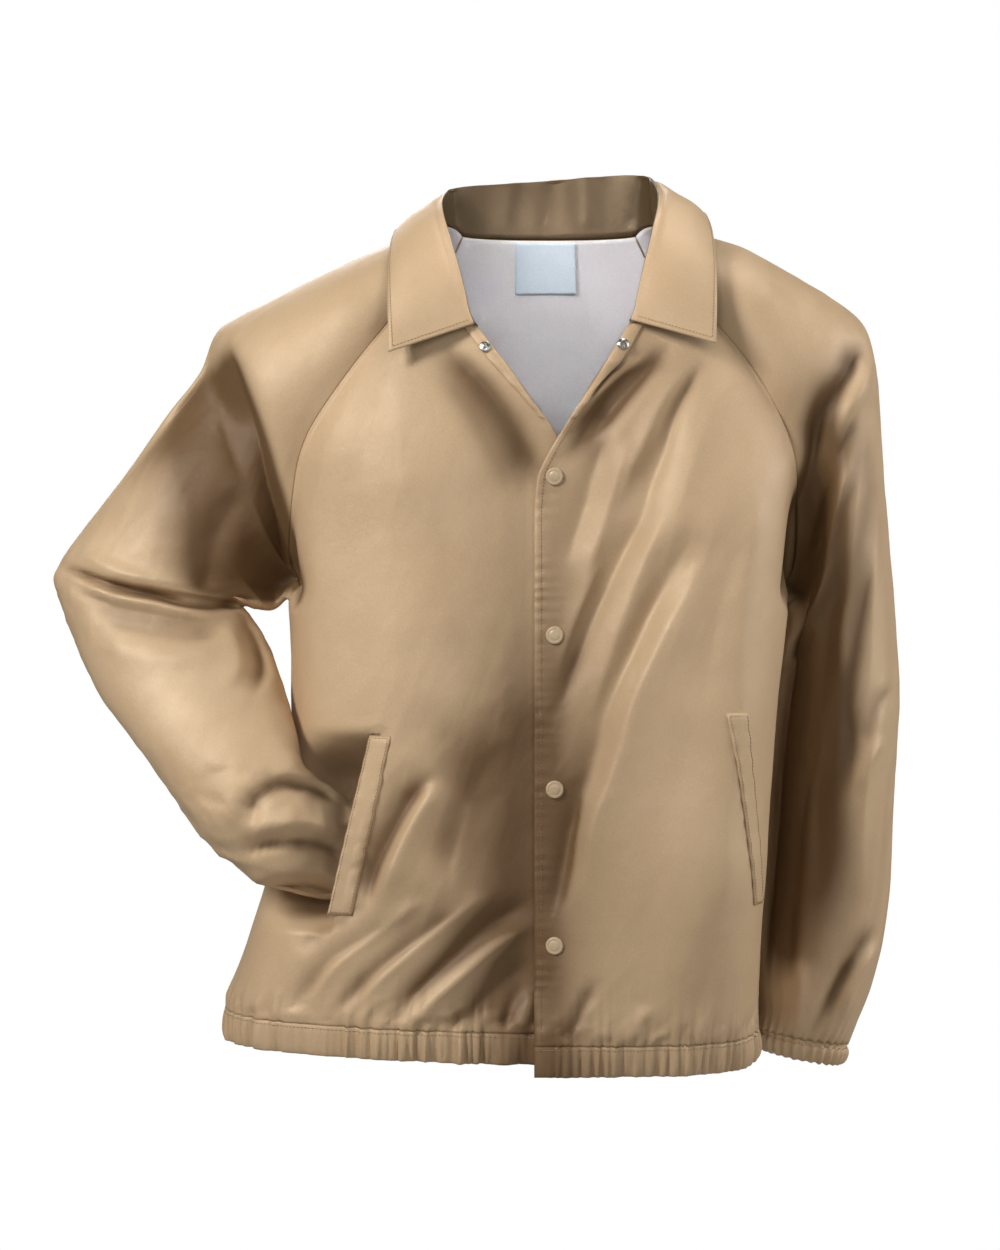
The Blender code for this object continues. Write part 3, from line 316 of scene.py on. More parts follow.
BACK_CREASES = table(
    CREASE_NAMES,
    (-185, -180, -140, -420, 10, 14, 22, -8),
    (178, -190, 136, -430, -10, 22, 14, -8),
    (-160, -210, -110, -470, 8, 12, 18, 5.5),
    (158, -210, 112, -450, -8, 12, 18, 5.5),
    (-125, -150, -70, -400, 10, 20, 30, 5),
    (118, -150, 62, -400, -10, 20, 30, 5),
    (-90, -440, -160, -670, 10, 12, 20, -7.5),
    (-66, -450, -118, -670, 8, 10, 16, 5.5),
    (-20, -400, -52, -670, 6, 14, 24, 6),
    (10, -470, 0, -675, 0, 12, 16, -5),
    (56, -430, 86, -670, -6, 12, 20, -6.5),
    (84, -470, 122, -670, -6, 10, 16, 5),
    (-205, -530, -232, -672, 0, 10, 14, 5.5),
    (-235, -560, -258, -675, 0, 10, 12, -5),
    (140, -500, 142, -670, 0, 10, 12, -4.5),
    (-30, -60, 34, -62, -10, 14, 20, -3),
    (-200, -300, -120, -345, 8, 10, 14, -4.5),
    (188, -300, 115, -340, -8, 10, 14, -4.5),
)
# The deep creases where the sleeves meet the body, seen from the front.
ARMPIT_CREASES = table(
    CREASE_NAMES,
    (-280, -100, -211, -430, -16, 7, 58, -42),
    (229, -146, 189, -662, 20, 56, 7, -27),
)
# Creases of the sleeves seen from the front and from behind.
SLEEVE_FRONT_CREASES = table(
    CREASE_NAMES,
    (-266, -222, -302, -315, 6, 12, 14, -6),
    (-431, -284, -259, -319, 8, 3, 6, -11),
    (-421, -295, -286, -321, 8, 4, 4, 6),
    (-414, -307, -268, -329, 9, 5, 14, -5),
    (-409, -274, -307, -298, 8, 8, 8, 4),
    (-392, -325, -269, -339, 12, 14, 12, -5),
    (-383, -349, -281, -349, 16, 14, 12, 3),
    (-264, -325, -246, -400, -7, 6, 9, -9),
    (-254, -325, -229, -392, -6, 5, 6, 6),
    (-244, -339, -220, -410, -5, 5, 7, -6),
    (-280, -334, -266, -392, -6, 8, 10, 4),
    (-174, -492, -256, -487, 20, 8, 12, -11),
    (-171, -477, -241, -466, 10, 7, 8, 6),
    (-169, -517, -261, -509, 16, 9, 8, 8),
    (-171, -538, -259, -528, 16, 7, 9, -10),
    (-174, -553, -254, -551, 10, 6, 7, 6),
    (-179, -568, -239, -562, 6, 6, 7, -8),
    (-246, -473, -259, -526, -6, 8, 10, -5),
    (-213, -485, -217, -536, 4, 6, 8, 3.5),
    (270, -98, 218, -204, 7, 8, 18, -14),
    (278, -106, 236, -229, 8, 10, 8, 7),
    (266, -144, 213, -298, 8, 8, 12, -9),
    (256, -187, 224, -349, 6, 7, 9, 6),
    (249, -247, 232, -572, 5, 20, 16, -7),
    (263, -204, 253, -401, 4, 9, 8, 6),
    (284, -229, 272, -555, 4, 10, 16, 4.5),
    (276, -281, 256, -469, 3, 7, 8, -5),
    (292, -392, 272, -445, 5, 6, 8, -5),
    (287, -435, 266, -478, 4, 5, 6, 4),
    (239, -401, 213, -623, 5, 9, 10, 5.5),
    (226, -452, 205, -658, 4, 8, 10, -6),
    (278, -598, 237, -683, 5, 8, 10, -6),
    (285, -615, 253, -675, 5, 6, 7, 5),
    (263, -623, 224, -702, 4, 7, 8, -5),
    (213, -623, 215, -700, 0, 7, 8, 4),
)
SLEEVE_BACK_CREASES = table(
    CREASE_NAMES,
    (-265, -110, -232, -310, -12, 14, 36, -17),
    (-430, -296, -300, -312, 12, 14, 12, -9),
    (-425, -318, -285, -336, 10, 10, 14, 6),
    (-320, -335, -270, -420, -8, 10, 16, -6),
    (-350, -330, -310, -430, -8, 10, 16, 4.5),
    (-350, -200, -290, -275, 6, 16, 20, -4.5),
    (-300, -460, -230, -540, 6, 10, 12, -5.5),
    (268, -110, 218, -300, 14, 14, 30, -14),
    (262, -200, 232, -560, 6, 18, 26, -8),
    (286, -240, 268, -560, 6, 14, 20, 5.5),
    (292, -380, 222, -440, 6, 10, 14, -5),
    (288, -402, 224, -466, 6, 7, 10, 4),
    (282, -560, 220, -640, 6, 8, 12, -5.5),
    (262, -620, 212, -680, 4, 6, 10, 4.5),
)


def creases_at(creases, x, z, power=1.5):
    """The sum of the creases' heights at points seen from the front or from behind.

    Each is a bell across a bowed line, with its own width on each side, and fades at its ends.
    """
    total = np.zeros(np.broadcast(x, z).shape)
    for start_x, start_z, end_x, end_z, bend, left, right, deep in zip(*creases.values()):
        line = np.array([end_x - start_x, end_z - start_z])
        length = np.linalg.norm(line)
        along = ((x - start_x) * line[0] + (z - start_z) * line[1]) / length**2
        across = ((x - start_x) * line[1] - (z - start_z) * line[0]) / length
        t = np.clip(along, 0, 1)
        across = across - bend * 4 * t * (1 - t)
        past = np.maximum(np.abs(along - 0.5) - 0.5, 0) * length
        wide = np.where(across < 0, left, right)
        away = np.sqrt((across / wide) ** 2 + (past / (left + right)) ** 2)
        fade = ease(along, -0.06, 0.22) * (1 - ease(along, 0.72, 1.06))
        total += deep * fade * np.exp(-(away**power))
    return total


def lattice(cell, seed):
    """A repeatable value from -1 to 1 for each cell of a 3-D lattice, by mixing the bits of its numbers."""
    mixed = cell[..., 0] * 73856093 ^ cell[..., 1] * 19349663 ^ cell[..., 2] * 83492791 ^ (seed * 2654435761)
    mixed &= 0xFFFFFFFF
    mixed = ((mixed ^ (mixed >> 15)) * 2246822519) & 0xFFFFFFFF
    mixed = ((mixed ^ (mixed >> 13)) * 3266489917) & 0xFFFFFFFF
    return (mixed ^ (mixed >> 16)) / 0xFFFFFFFF * 2 - 1


def noise(points, seed):
    """Smooth noise: the lattice's values at the eight corners round each point, mixed by quintic steps."""
    low = np.floor(points).astype(np.int64)
    part = points - low
    part = part**3 * (part * (part * 6 - 15) + 10)
    total = 0.0
    for corner in np.ndindex(2, 2, 2):
        share = np.where(corner, part, 1 - part).prod(-1)
        total = total + share * lattice(low + corner, seed)
    return total


def crumple(points, along, long, short, seed, sharp=0.12):
    """Soft uneven creases that run along a direction: folded noise, stretched, with its valleys rounded."""
    along = np.array(along, float) / np.linalg.norm(along)
    run = (points * along).sum(-1, keepdims=True) * along
    place = (points - run) / short + run / long
    place = place + 0.35 * np.stack([noise(place * 0.9 + 7.0, seed + 5)] * 3, -1)
    folded = np.sqrt(noise(place, seed) ** 2 + sharp**2)
    finer = np.sqrt(noise(place * 2.1 + 3.3, seed + 9) ** 2 + sharp**2)
    return 0.55 - folded + 0.35 * (0.55 - finer)


def torso(angle, height, lift=0.0):
    """A point of the body: a squared ellipse at each height, with the front's shallow valley at the snaps.

    The angle is 0 at the centre front and grows towards the wearer's left.
    """
    angle, height, lift = np.broadcast_arrays(np.asarray(angle, float), height, lift)
    left, right, front, back, square = ring_sizes(height)
    sine, cosine = np.sin(angle), np.cos(angle)
    wide = np.where(sine >= 0, left, right)
    deep = np.where(cosine >= 0, front, back)
    reach = (np.abs(sine) ** square + np.abs(cosine) ** square) ** (-1 / square)
    across, ahead = sine * reach, -cosine * reach
    x, y = wide * across, deep * ahead
    out_x = across * np.abs(across) ** (square - 2) / wide
    out_y = ahead * np.abs(ahead) ** (square - 2) / deep
    out = np.stack([out_x, out_y, 0 * x], -1)
    out /= np.linalg.norm(out, axis=-1, keepdims=True)
    tall = ease(height, -0.760, -0.600) * (1 - ease(height, -0.250, -0.120))
    valley_wide = np.where(x < VALLEY_LINE, *VALLEY_WIDE)
    valley = VALLEY_DEEP * bell(x, VALLEY_LINE, valley_wide) * tall
    y = y + np.where(cosine > 0, valley, 0.0)
    return np.stack([x, y, height], -1) + out * lift[..., None]


def angle_of_share(share, height):
    """The angle at which the ring reaches this share of its half width, signed as the share is."""
    square = follow(height, TORSO["height"], TORSO["square"])
    across = np.clip(np.abs(share), 0, 1)
    return np.sign(share) * np.arctan2(across, (1 - across**square) ** (1 / square))


def angle_of_x(x, height):
    """The angle on the ring's front at which it reaches x."""
    left, right = ring_sizes(height)[:2]
    return angle_of_share(x / np.where(x >= 0, left, right), height)


def raglan_stations():
    """Stations down a raglan seam, closer together towards the armpit."""
    return 1 - (1 - np.linspace(0, 1, RAGLAN_ROWS + 1)) ** SEAM_CROWDING


def raglan_angle(seam, station, side):
    """The angle and the height of a raglan seam at a station, on the ring's front."""
    height = follow(station, seam["station"], seam["height"])
    share = follow(station, seam["station"], seam["share"])
    return angle_of_share(side * share, height), height


def moved_round(angle, height, distance, steps=6, small=0.001):
    """The angle reached from another one by a distance along the ring, in a few short steps."""
    for _ in range(steps):
        pace = np.linalg.norm(torso(angle + small, height) - torso(angle, height), axis=-1) / small
        angle = angle + distance / steps / pace
    return angle


def welt_line(side, height):
    """The angle of the edge of a pocket's welt that is nearer the centre."""
    welt = FRONT_TABLES[side][2]
    slope = (welt["x"][1] - welt["x"][0]) / (welt["height"][1] - welt["height"][0])
    return angle_of_x(welt["x"][0] + slope * (height - welt["height"][0]), height)


def drawn_in(first, full, last, spread):
    """Angles from first to last: just above the armpit only the outer columns give way, then all of them."""
    narrowed = np.abs(full - last)
    power = 1 + 9 * np.exp(-narrowed / 0.3)
    return first + (full - first) * spread - (full - last) * spread**power


def front_grid(side):
    """Angles and heights of a front's grid: rows from hem to neckline, columns from its edge to its seams.

    One column follows the pocket's mouth. Side is 1 for the wearer's left and -1 for the right.
    """
    edge, hem, welt = FRONT_TABLES[side]
    share = np.linspace(0, 1, FRONT_COLUMNS + 1)
    up = np.linspace(0, 1, ROWS_BELOW_ARMPIT + 1)[:, None]
    bottom = follow(share, hem["share"], hem["height"]) + CASING_DEEP
    low = bottom + (ARMPIT_HEIGHT - bottom) * up
    station = raglan_stations()[-2::-1]
    seam_angle, seam_height = raglan_angle(FRONT_RAGLAN, station, side)
    edge_height = ARMPIT_HEIGHT + (edge["height"][-1] - ARMPIT_HEIGHT) * (1 - station)
    high = edge_height[:, None] + (seam_height - edge_height)[:, None] * share
    height = np.concatenate([low, high])
    first = angle_of_x(follow(height[:, 0], edge["height"], edge["x"]), height[:, 0])
    last = np.concatenate([np.full(len(low), side * np.pi / 2), seam_angle])
    level = np.clip(height[:, POCKET_COLUMN], welt["height"][0], ARMPIT_HEIGHT)
    line = welt_line(side, level)
    inner_share, outer_share = [
        (moved_round(line, level, side * wide) - first) / (last - first)
        for wide in (WELT_WIDE / 2, WELT_WIDE / 2 + MOUTH_WIDE)
    ]
    past = POCKET_COLUMN + MOUTH_COLUMNS
    for edge_share, even in ((inner_share, POCKET_COLUMN), (outer_share, past)):
        even_share = even / FRONT_COLUMNS
        edge_share[len(low):] = even_share + (edge_share[len(low) - 1] - even_share) * station**2
    inner_share, outer_share = inner_share[:, None], outer_share[:, None]
    count = np.arange(FRONT_COLUMNS + 1)
    before = inner_share * count / POCKET_COLUMN
    mouth = inner_share + (outer_share - inner_share) * (count - POCKET_COLUMN) / MOUTH_COLUMNS
    after = outer_share + (1 - outer_share) * (count - past) / (FRONT_COLUMNS - past)
    spread = np.where(count <= POCKET_COLUMN, before, np.where(count <= past, mouth, after))
    return drawn_in(first[:, None], side * np.pi / 2, last[:, None], spread), height


def back_grid():
    """Angles and heights of the back's grid: rows from hem to neckline, columns from the wearer's left."""
    share = np.linspace(0, 1, BACK_COLUMNS + 1)
    up = np.linspace(0, 1, ROWS_BELOW_ARMPIT + 1)[:, None]
    bottom = follow(share, BACK_HEM["share"], BACK_HEM["height"]) + CASING_DEEP
    low = bottom + (ARMPIT_HEIGHT - bottom) * up
    station = raglan_stations()[-2::-1]
    front_angle, seam_height = raglan_angle(BACK_RAGLAN, station, 1)
    reach = np.concatenate([np.full(len(low), np.pi / 2), front_angle])[:, None]
    dip = NECK_DIP * (1 - station)[:, None] * (1 - (2 * share - 1) ** 2)
    height = np.concatenate([low, seam_height[:, None] - dip])
    half = np.abs(1 - 2 * share)
    return np.pi - np.sign(1 - 2 * share) * drawn_in(0.0, np.pi / 2, reach, half), height


def overlap_step(side, angle, height):
    """How far a front stands out near the snaps: the wearer's left front lies over the right one."""
    x = torso(angle, height)[..., 0]
    if side > 0:
        near = 1 - ease(x, *LEFT_OVERLAP)
    else:
        near = ease(x, *RIGHT_OVERLAP)
    fastened = 1 - 0.6 * ease(height, -0.200, -0.150)
    return side * OVERLAP_STEP / 2 * near * fastened


def pocket_dent(grid, after):
    """How far the cloth behind the tucked-in cuff is pushed in, deepest at the pocket's mouth."""
    away = grid[:, after, None, 0] - grid[..., 0]
    height = grid[..., 2]
    tall = ease(height, -0.595, -0.560) * (1 - ease(height, -0.470, -0.420))
    in_front = np.clip(-grid[..., 1] / 0.100, 0, 1)
    past_mouth = np.arange(grid.shape[1]) >= after
    return past_mouth * DENT_DEEP * bell(away, 0, DENT_WIDE) * tall * in_front


def sleeve_points(sleeve, side, station, share):
    """A sleeve's points: at each station an arc of an ellipse from the front seam over to the back seam.

    Below the armpit the arc is a whole ellipse between the outer and the inner line.
    """
    rows = sleeve["station"]
    outer = place_of(sleeve, "outer_", station)
    inner = place_of(sleeve, "inner_", station, rows >= 1)
    deep = follow(station, rows, sleeve["deep"])
    seam_station = np.clip(station, 0, 1)
    front_angle, front_height = raglan_angle(FRONT_RAGLAN, seam_station, side)
    back_angle, back_height = raglan_angle(BACK_RAGLAN, seam_station, side)
    front_seam = torso(front_angle, front_height)
    back_seam = torso(np.pi - back_angle, back_height)
    on_body = (station < 1)[..., None]
    middle = np.where(on_body, (front_seam + back_seam) / 2, inner)
    apart = front_seam - back_seam
    width = np.linalg.norm(apart, axis=-1)
    across = np.where(on_body, apart / np.maximum(width, 1e-9)[..., None], np.array([0.0, -1.0, 0.0]))
    half_turn = np.pi - np.arcsin(np.clip(np.where(station < 1, width / 2 / deep, 0.0), 0, 1))
    deep = np.where(station < 1, np.maximum(deep, width / 2), deep)
    rise = (outer - middle) / (1 - np.cos(half_turn))[..., None]
    turn = half_turn * (1 - 2 * share)
    cusp = LEFT_UNDERARM_CUSP if side > 0 else RIGHT_UNDERARM_CUSP
    cusp = cusp * ease(station, 0.6, 1.0) * (1 - ease(station, 1.0, 1.35))
    rounded = np.cos(turn) - np.cos(half_turn)
    pointed = (1 - np.cos(half_turn)) * (1 - np.abs(2 * share - 1))
    along = rounded * (1 - cusp) + pointed * cusp
    return middle + rise * along[..., None] + across * (deep * np.sin(turn))[..., None]


def sleeve_stations(sleeve):
    """Stations down a sleeve: those of the raglan seam, then steps along its middle, closer by the elbow."""
    dense = np.linspace(1, sleeve["station"][-1], 400)
    both = place_of(sleeve, "outer_", dense) + place_of(sleeve, "inner_", dense, sleeve["station"] >= 1)
    steps = np.linalg.norm(np.diff(both, axis=0), axis=1)
    steps = steps * (1 + 1.3 * bell(both[1:, 2] / 2, ELBOW_HEIGHT, 0.050))
    length = np.concatenate([[0], np.cumsum(steps)])
    even = np.interp(np.linspace(0, length[-1], SLEEVE_ROWS + 1), length, dense)
    return np.concatenate([raglan_stations(), even[1:]])


def sleeve_grid(sleeve, side):
    """A sleeve's points: rows from the neck to the cuff, columns from the front seam to the back one."""
    round_share = np.linspace(0, 1, SLEEVE_COLUMNS + 1)
    station, share = np.meshgrid(sleeve_stations(sleeve), round_share, indexing="ij")
    grid = sleeve_points(sleeve, side, station, share)
    closed = station[:, 0] >= 1
    grid[closed, -1] = grid[closed, 0]
    return grid, station


def grid_faces(rows, columns, skipped=None):
    """The four-sided faces of a grid of points, without the skipped cells."""
    row, column = np.meshgrid(np.arange(rows - 1), np.arange(columns - 1), indexing="ij")
    corner = row * columns + column
    if skipped is not None:
        corner = corner[~skipped]
    corner = corner.ravel()
    return np.stack([corner, corner + 1, corner + columns + 1, corner + columns], -1)


def unit(vectors):
    """The same directions, one long."""
    return vectors / np.maximum(np.linalg.norm(vectors, axis=-1, keepdims=True), 1e-12)


def add_at(total, index, values):
    """Adds values to rows of an array by index, one axis at a time."""
    for axis in range(total.shape[1]):
        total[:, axis] += np.bincount(index, values[:, axis], len(total))


def vertex_normals(points, faces):
    """The outward direction at each point: the sum of the normals of the faces round it."""
    corner = points[faces]
    normal = np.cross(corner[:, 2] - corner[:, 0], corner[:, 3] - corner[:, 1])
    total = np.zeros_like(points)
    for i in range(4):
        add_at(total, faces[:, i], normal)
    return unit(total)


def neighbour_mean(points, edges, count):
    """The mean place of each point's neighbours."""
    total = np.zeros_like(points)
    add_at(total, edges[:, 0], points[edges[:, 1]])
    add_at(total, edges[:, 1], points[edges[:, 0]])
    return total / count[:, None]


def nearest_distance(points, line):
    """How far each point is from the nearest point of a line, by squares and products of the coordinates."""
    line = line[::2]
    square = (line**2).sum(-1)
    blocks = np.array_split(points, max(1, len(points) // 4000))
    least = [((block**2).sum(-1)[:, None] + square - 2 * block @ line.T).min(1) for block in blocks]
    return np.sqrt(np.maximum(np.concatenate(least), 0.0))


def row_lengths(grid):
    """The distance along each row of a grid from its first column."""
    steps = np.linalg.norm(np.diff(grid, axis=1), axis=-1)
    return np.concatenate([np.zeros((len(grid), 1)), np.cumsum(steps, axis=1)], axis=1)


def lengths(line):
    """The distance along a line of points from its first one."""
    return row_lengths(line[None])[0]


def read(where, at, line):
    """Three-number rows of a line, read at places along it."""
    return np.stack([np.interp(where, at, line[:, i]) for i in range(3)], -1)


# The panels whose grids run the other way round.
FLIPPED = {"right_front", "left_sleeve"}


def panel_grids():
    """The five main panels' bare grids, the cells left open for the pocket, and the sleeves' stations."""
    grids, skips, stations = {}, {}, {}
    for name, side in (("left_front", 1), ("right_front", -1)):
        angle, height = front_grid(side)
        grids[name] = torso(angle, height, overlap_step(side, angle, height))
    grids["right_front"][..., 1] += pocket_dent(grids["right_front"], POCKET_COLUMN + MOUTH_COLUMNS)
    middle = (height[:-1, :-1] + height[1:, 1:]) / 2
    column = np.arange(FRONT_COLUMNS)
    in_mouth = (column >= POCKET_COLUMN) & (column < POCKET_COLUMN + MOUTH_COLUMNS)
    open_now = (middle > RIGHT_WELT["height"][0]) & (middle < RIGHT_WELT["height"][1])
    skips["right_front"] = open_now & in_mouth
    grids["back"] = torso(*back_grid())
    for name, sleeve, side in (("left_sleeve", LEFT_SLEEVE, 1), ("right_sleeve", RIGHT_SLEEVE, -1)):
        grids[name], stations[name] = sleeve_grid(sleeve, side)
    return grids, skips, stations


def raised_by(points, normals, of_sleeve):
    """How far the cloth stands out by its creases and crumples, and how far it faces forwards and back."""
    x, z = points[:, 0], points[:, 2]
    body = 1 - of_sleeve
    ahead, behind = ease(-normals[:, 1], 0.05, 0.50), ease(normals[:, 1], 0.05, 0.50)
    warp = points + 0.004 * np.stack([noise(points / 0.05, seed) for seed in (11, 12, 13)], -1)
    place = warp[:, 0], warp[:, 2]
    upper = ease(z, -0.328, -0.300)
    upper = np.where(x > 0, np.maximum(upper, of_sleeve), upper)
    raised = body * ahead * creases_at(FRONT_CREASES, *place)
    raised += ahead * upper * creases_at(ARMPIT_CREASES, *place, 1.25)
    raised += body * behind * creases_at(BACK_CREASES, *place)
    raised += of_sleeve * ahead * creases_at(SLEEVE_FRONT_CREASES, *place)
    raised += of_sleeve * behind * creases_at(SLEEVE_BACK_CREASES, *place)
    return raised + crumple_map(points, of_sleeve), ahead, behind


def painted_shade_at(x, z):
    """How much painted shade the body's colour takes: bells along the snaps' valley and beside it, at two
    broad places, and more towards the hem.
    """
    # Painted shade, placed where shade falls on the front, not a colour of the cloth itself.
    beside = np.where(x < VALLEY_LINE, *VALLEY_WIDE) * np.where(x < VALLEY_LINE, 0.85, 0.65)
    shade = np.where(x < VALLEY_LINE, 0.55 + 0.35 * ease(-z, 0.330, 0.460), 0.50)
    shade = shade * bell(x, VALLEY_LINE, beside) * ease(-z, 0.150, 0.420)
    shade = shade + 0.30 * bell(x, 0.001, 0.018) * ease(-z, 0.190, 0.230) * (x > VALLEY_LINE)
    shade = shade + 0.34 * bell(x, 0.045, 0.050) * bell(z, -0.155, 0.075)
    shade = shade + 0.34 * bell(x, -0.110, 0.060) * bell(z, -0.566, 0.050)
    return shade + 0.32 * ease(-z, 0.650, 0.705)


def make_shell():
    """The five main panels' points, outward directions and painted shade, worked out as one welded skin.

    The skin is smoothed where the sleeves meet the body, then raised by its creases, crumples and puckers,
    so that the folds run on over the seams.
    """
    grids, skips, stations = panel_grids()
    names = list(grids)
    sleeves = names[3:]
    flat = np.concatenate([grids[name].reshape(-1, 3) for name in names])
    starts = np.cumsum([0] + [grids[name][..., 0].size for name in names])
    faces = []
    for name, start in zip(names, starts):
        part = grid_faces(*grids[name].shape[:2], skips.get(name)) + start
        faces.append(part[:, ::-1] if name in FLIPPED else part)
    keys = np.round(flat * WELD_CELLS_PER_METRE).astype(np.int64)
    _, first, index = np.unique(keys, axis=0, return_index=True, return_inverse=True)
    index = index.reshape(-1)
    points, faces = flat[first], index[np.concatenate(faces)]
    places = {name: index[start: start + grids[name][..., 0].size] for name, start in zip(names, starts)}

    edges = np.sort(np.concatenate([faces[:, [i, (i + 1) % 4]] for i in range(4)]), 1)
    edges, uses = np.unique(edges[edges[:, 0] != edges[:, 1]], axis=0, return_counts=True)
    count = np.maximum(np.bincount(edges.ravel(), minlength=len(points)).astype(float), 1)
    border = np.zeros(len(points), bool)
    border[edges[uses == 1].ravel()] = True
    seams = [grids[name][: RAGLAN_ROWS + 1, column] for name in sleeves for column in (0, -1)]
    near_seam = 1 - ease(nearest_distance(points, np.concatenate(seams)), *SEAM_REACH)
    of_sleeve, near_armpit = np.zeros(len(points)), np.zeros((len(points), 1))
    for name in sleeves:
        of_sleeve[places[name]] = ease(stations[name].ravel(), 0.10, 0.55)
        near_armpit[places[name], 0] = bell(stations[name].ravel(), 1, 0.12)
    low_part = ease(points[:, 2], -0.330, -0.270)
    loose = (near_seam * ~border * (0.25 + 0.75 * low_part))[:, None]
    for pull, steps in ((loose, SEAM_SMOOTHING), (near_armpit, ARMPIT_SMOOTHING)):
        for _ in range(steps):
            points = points + pull * 0.5 * (neighbour_mean(points, edges, count) - points)
    normals = vertex_normals(points, faces)
    for _ in range(NORMAL_SMOOTHING):
        normals = unit(normals + neighbour_mean(normals, edges, count))

    x, z = points[:, 0], points[:, 2]
    raised, ahead, behind = raised_by(points, normals, of_sleeve)
    raised *= ease(from_border(points, border, grids, places), 0.0, BORDER_FADE) * 0.9 + 0.1
    ahead_only = np.stack([0 * x, np.where(normals[:, 1] < 0, -1.0, 1.0), 0 * x], -1)
    mostly = np.maximum(ahead, behind)[:, None] * 0.75
    points = points + unit(normals * (1 - mostly) + ahead_only * mostly) * raised[:, None]
    # Painted shade: how much the cloth's colour is darkened in deep creases and, on the body's front, at a
    # few broad places, standing in for the shade that falls there.
    painted_shade = np.clip(ease(-raised, *PAINTED_SHADE_DEPTHS) + painted_shade_at(x, z) * (1 - of_sleeve) * ahead, 0, 1)
    normals = vertex_normals(points, faces)
    panels = {}
    for name, place in places.items():
        shape = grids[name].shape
        panels[name] = {
            "points": points[place].reshape(shape),
            "normals": normals[place].reshape(shape),
            "painted_shade": painted_shade[place].reshape(shape[:2]),
            "skipped": skips.get(name),
        }
    return panels


def from_border(points, border, grids, places):
    """How far each point is from its own panel's open edges, leaving out the fastened front edges."""
    least = np.full(len(points), 1.0)
    for name, place in places.items():
        open_edge = border.copy()
        if "front" in name:
            edge = place.reshape(grids[name].shape[:2])[:, 0]
            open_edge[edge[points[edge, 2] < FASTENED_TOP]] = False
        line = points[np.unique(place[open_edge[place]])]
        least[place] = np.minimum(least[place], nearest_distance(points[place], line))
    return least


def crumple_map(points, of_sleeve):
    """The small uneven creases of thin nylon: stronger at the elbow, the tucked cuff and the hem."""
    x, z = points[:, 0], points[:, 2]
    body = 1 - of_sleeve
    left_sleeve, right_sleeve = of_sleeve * (x > 0), of_sleeve * (x < 0)
    drape = crumple(points, (0.42, 0.0, 1.0), 0.150, 0.034, 3)
    fine = crumple(points, (0.55, 0.1, 1.0), 0.060, 0.017, 17)
    long_run = crumple(points, (0.12, 0.1, 1.0), 0.200, 0.030, 29)
    slant = crumple(points, (-0.75, 0.0, -1.0), 0.120, 0.030, 41)
    rough = crumple(points, (1.0, 0.2, -0.2), 0.045, 0.020, 53)
    cuff_end = right_sleeve * ease(-z, 0.420, 0.500)
    elbow = right_sleeve * bell(z, -0.315, 0.045)
    near_hem = body * ease(-z, 0.600, 0.690)
    quiet = 0.35 + 0.65 * ease(noise(points / 0.11, 71), -0.3, 0.6)
    total = body * quiet * (0.0016 * drape + 0.0007 * fine)
    total += left_sleeve * quiet * (0.0030 * long_run + 0.0009 * fine)
    total += right_sleeve * quiet * (0.0016 * slant + 0.0008 * fine)
    total += cuff_end * 0.0045 * rough + elbow * 0.0022 * rough + near_hem * 0.0014 * fine
    return total


def hem_gathers(run, seed):
    """The hem's puckers along a distance: narrow uneven ridges about 12 mm apart, strong and faint."""
    wander = np.stack([run / 0.045, run * 0 + 0.5, run * 0 + seed], -1)
    strength = 0.15 + 0.85 * ease(noise(wander, 83), -0.35, 0.55)
    phase = run / 0.0120 + 1.6 * noise(wander * 1.9, 91)
    ridge = np.abs(np.sin(np.pi * phase)) ** 0.7
    return 0.0019 * strength * (1.0 - 1.6 * ridge + 0.5 * np.sin(4.6 * np.pi * phase))


def cuff_gathers(share, waves):
    """A cuff's gathers round its ring: even ribs with a slow change of depth."""
    uneven = 0.75 + 0.25 * np.sin(share * 2 * np.pi * 3 + 1.0)
    return 0.0013 * uneven * np.sin(share * 2 * np.pi * waves)


# How many gathers go round each sleeve's cuff.
CUFF_WAVES = {"left_sleeve": 30, "right_sleeve": 16}


def sewn_ends(run):
    """1 along a casing, falling to 0 at both of its sewn ends."""
    return ease(run, 0.0, 0.012) * (1 - ease(run, run[-1] - 0.008, run[-1]))


def add_gathers(panels):
    """Raises the panels' lower ends by the gathers of the hem or cuff below them."""
    for name, seed in (("left_front", 1), ("right_front", 2), ("back", 3)):
        panel = panels[name]
        points = panel["points"]
        run = lengths(points[0])
        panel["run"], panel["seed"] = run, seed
        height = points[..., 2] - points[:1, :, 2]
        ripple = hem_gathers(run, seed) * sewn_ends(run) * np.exp(-((height / 0.022) ** 1.2))
        bunched = crumple(points.reshape(-1, 3), (0.5, 0.2, 1.0), 0.026, 0.012, 61).reshape(height.shape)
        bunched = 0.0042 * bunched * bell(height, 0.007, 0.014) * sewn_ends(run)
        panel["points"] = points + panel["normals"] * (ripple + bunched)[..., None]
    for name, waves in CUFF_WAVES.items():
        panel = panels[name]
        points = panel["points"]
        rows = np.arange(len(points))[:, None]
        fall = np.exp(-(rows[-1] - rows) * 0.0045 / 0.012)
        ripple = cuff_gathers(np.linspace(0, 1, SLEEVE_COLUMNS + 1), waves) * 1.4 * fall
        points = points + panel["normals"] * ripple[..., None]
        points[:, -1] = np.where(rows > RAGLAN_ROWS, points[:, 0], points[:, -1])
        panel["points"] = points
    return panels


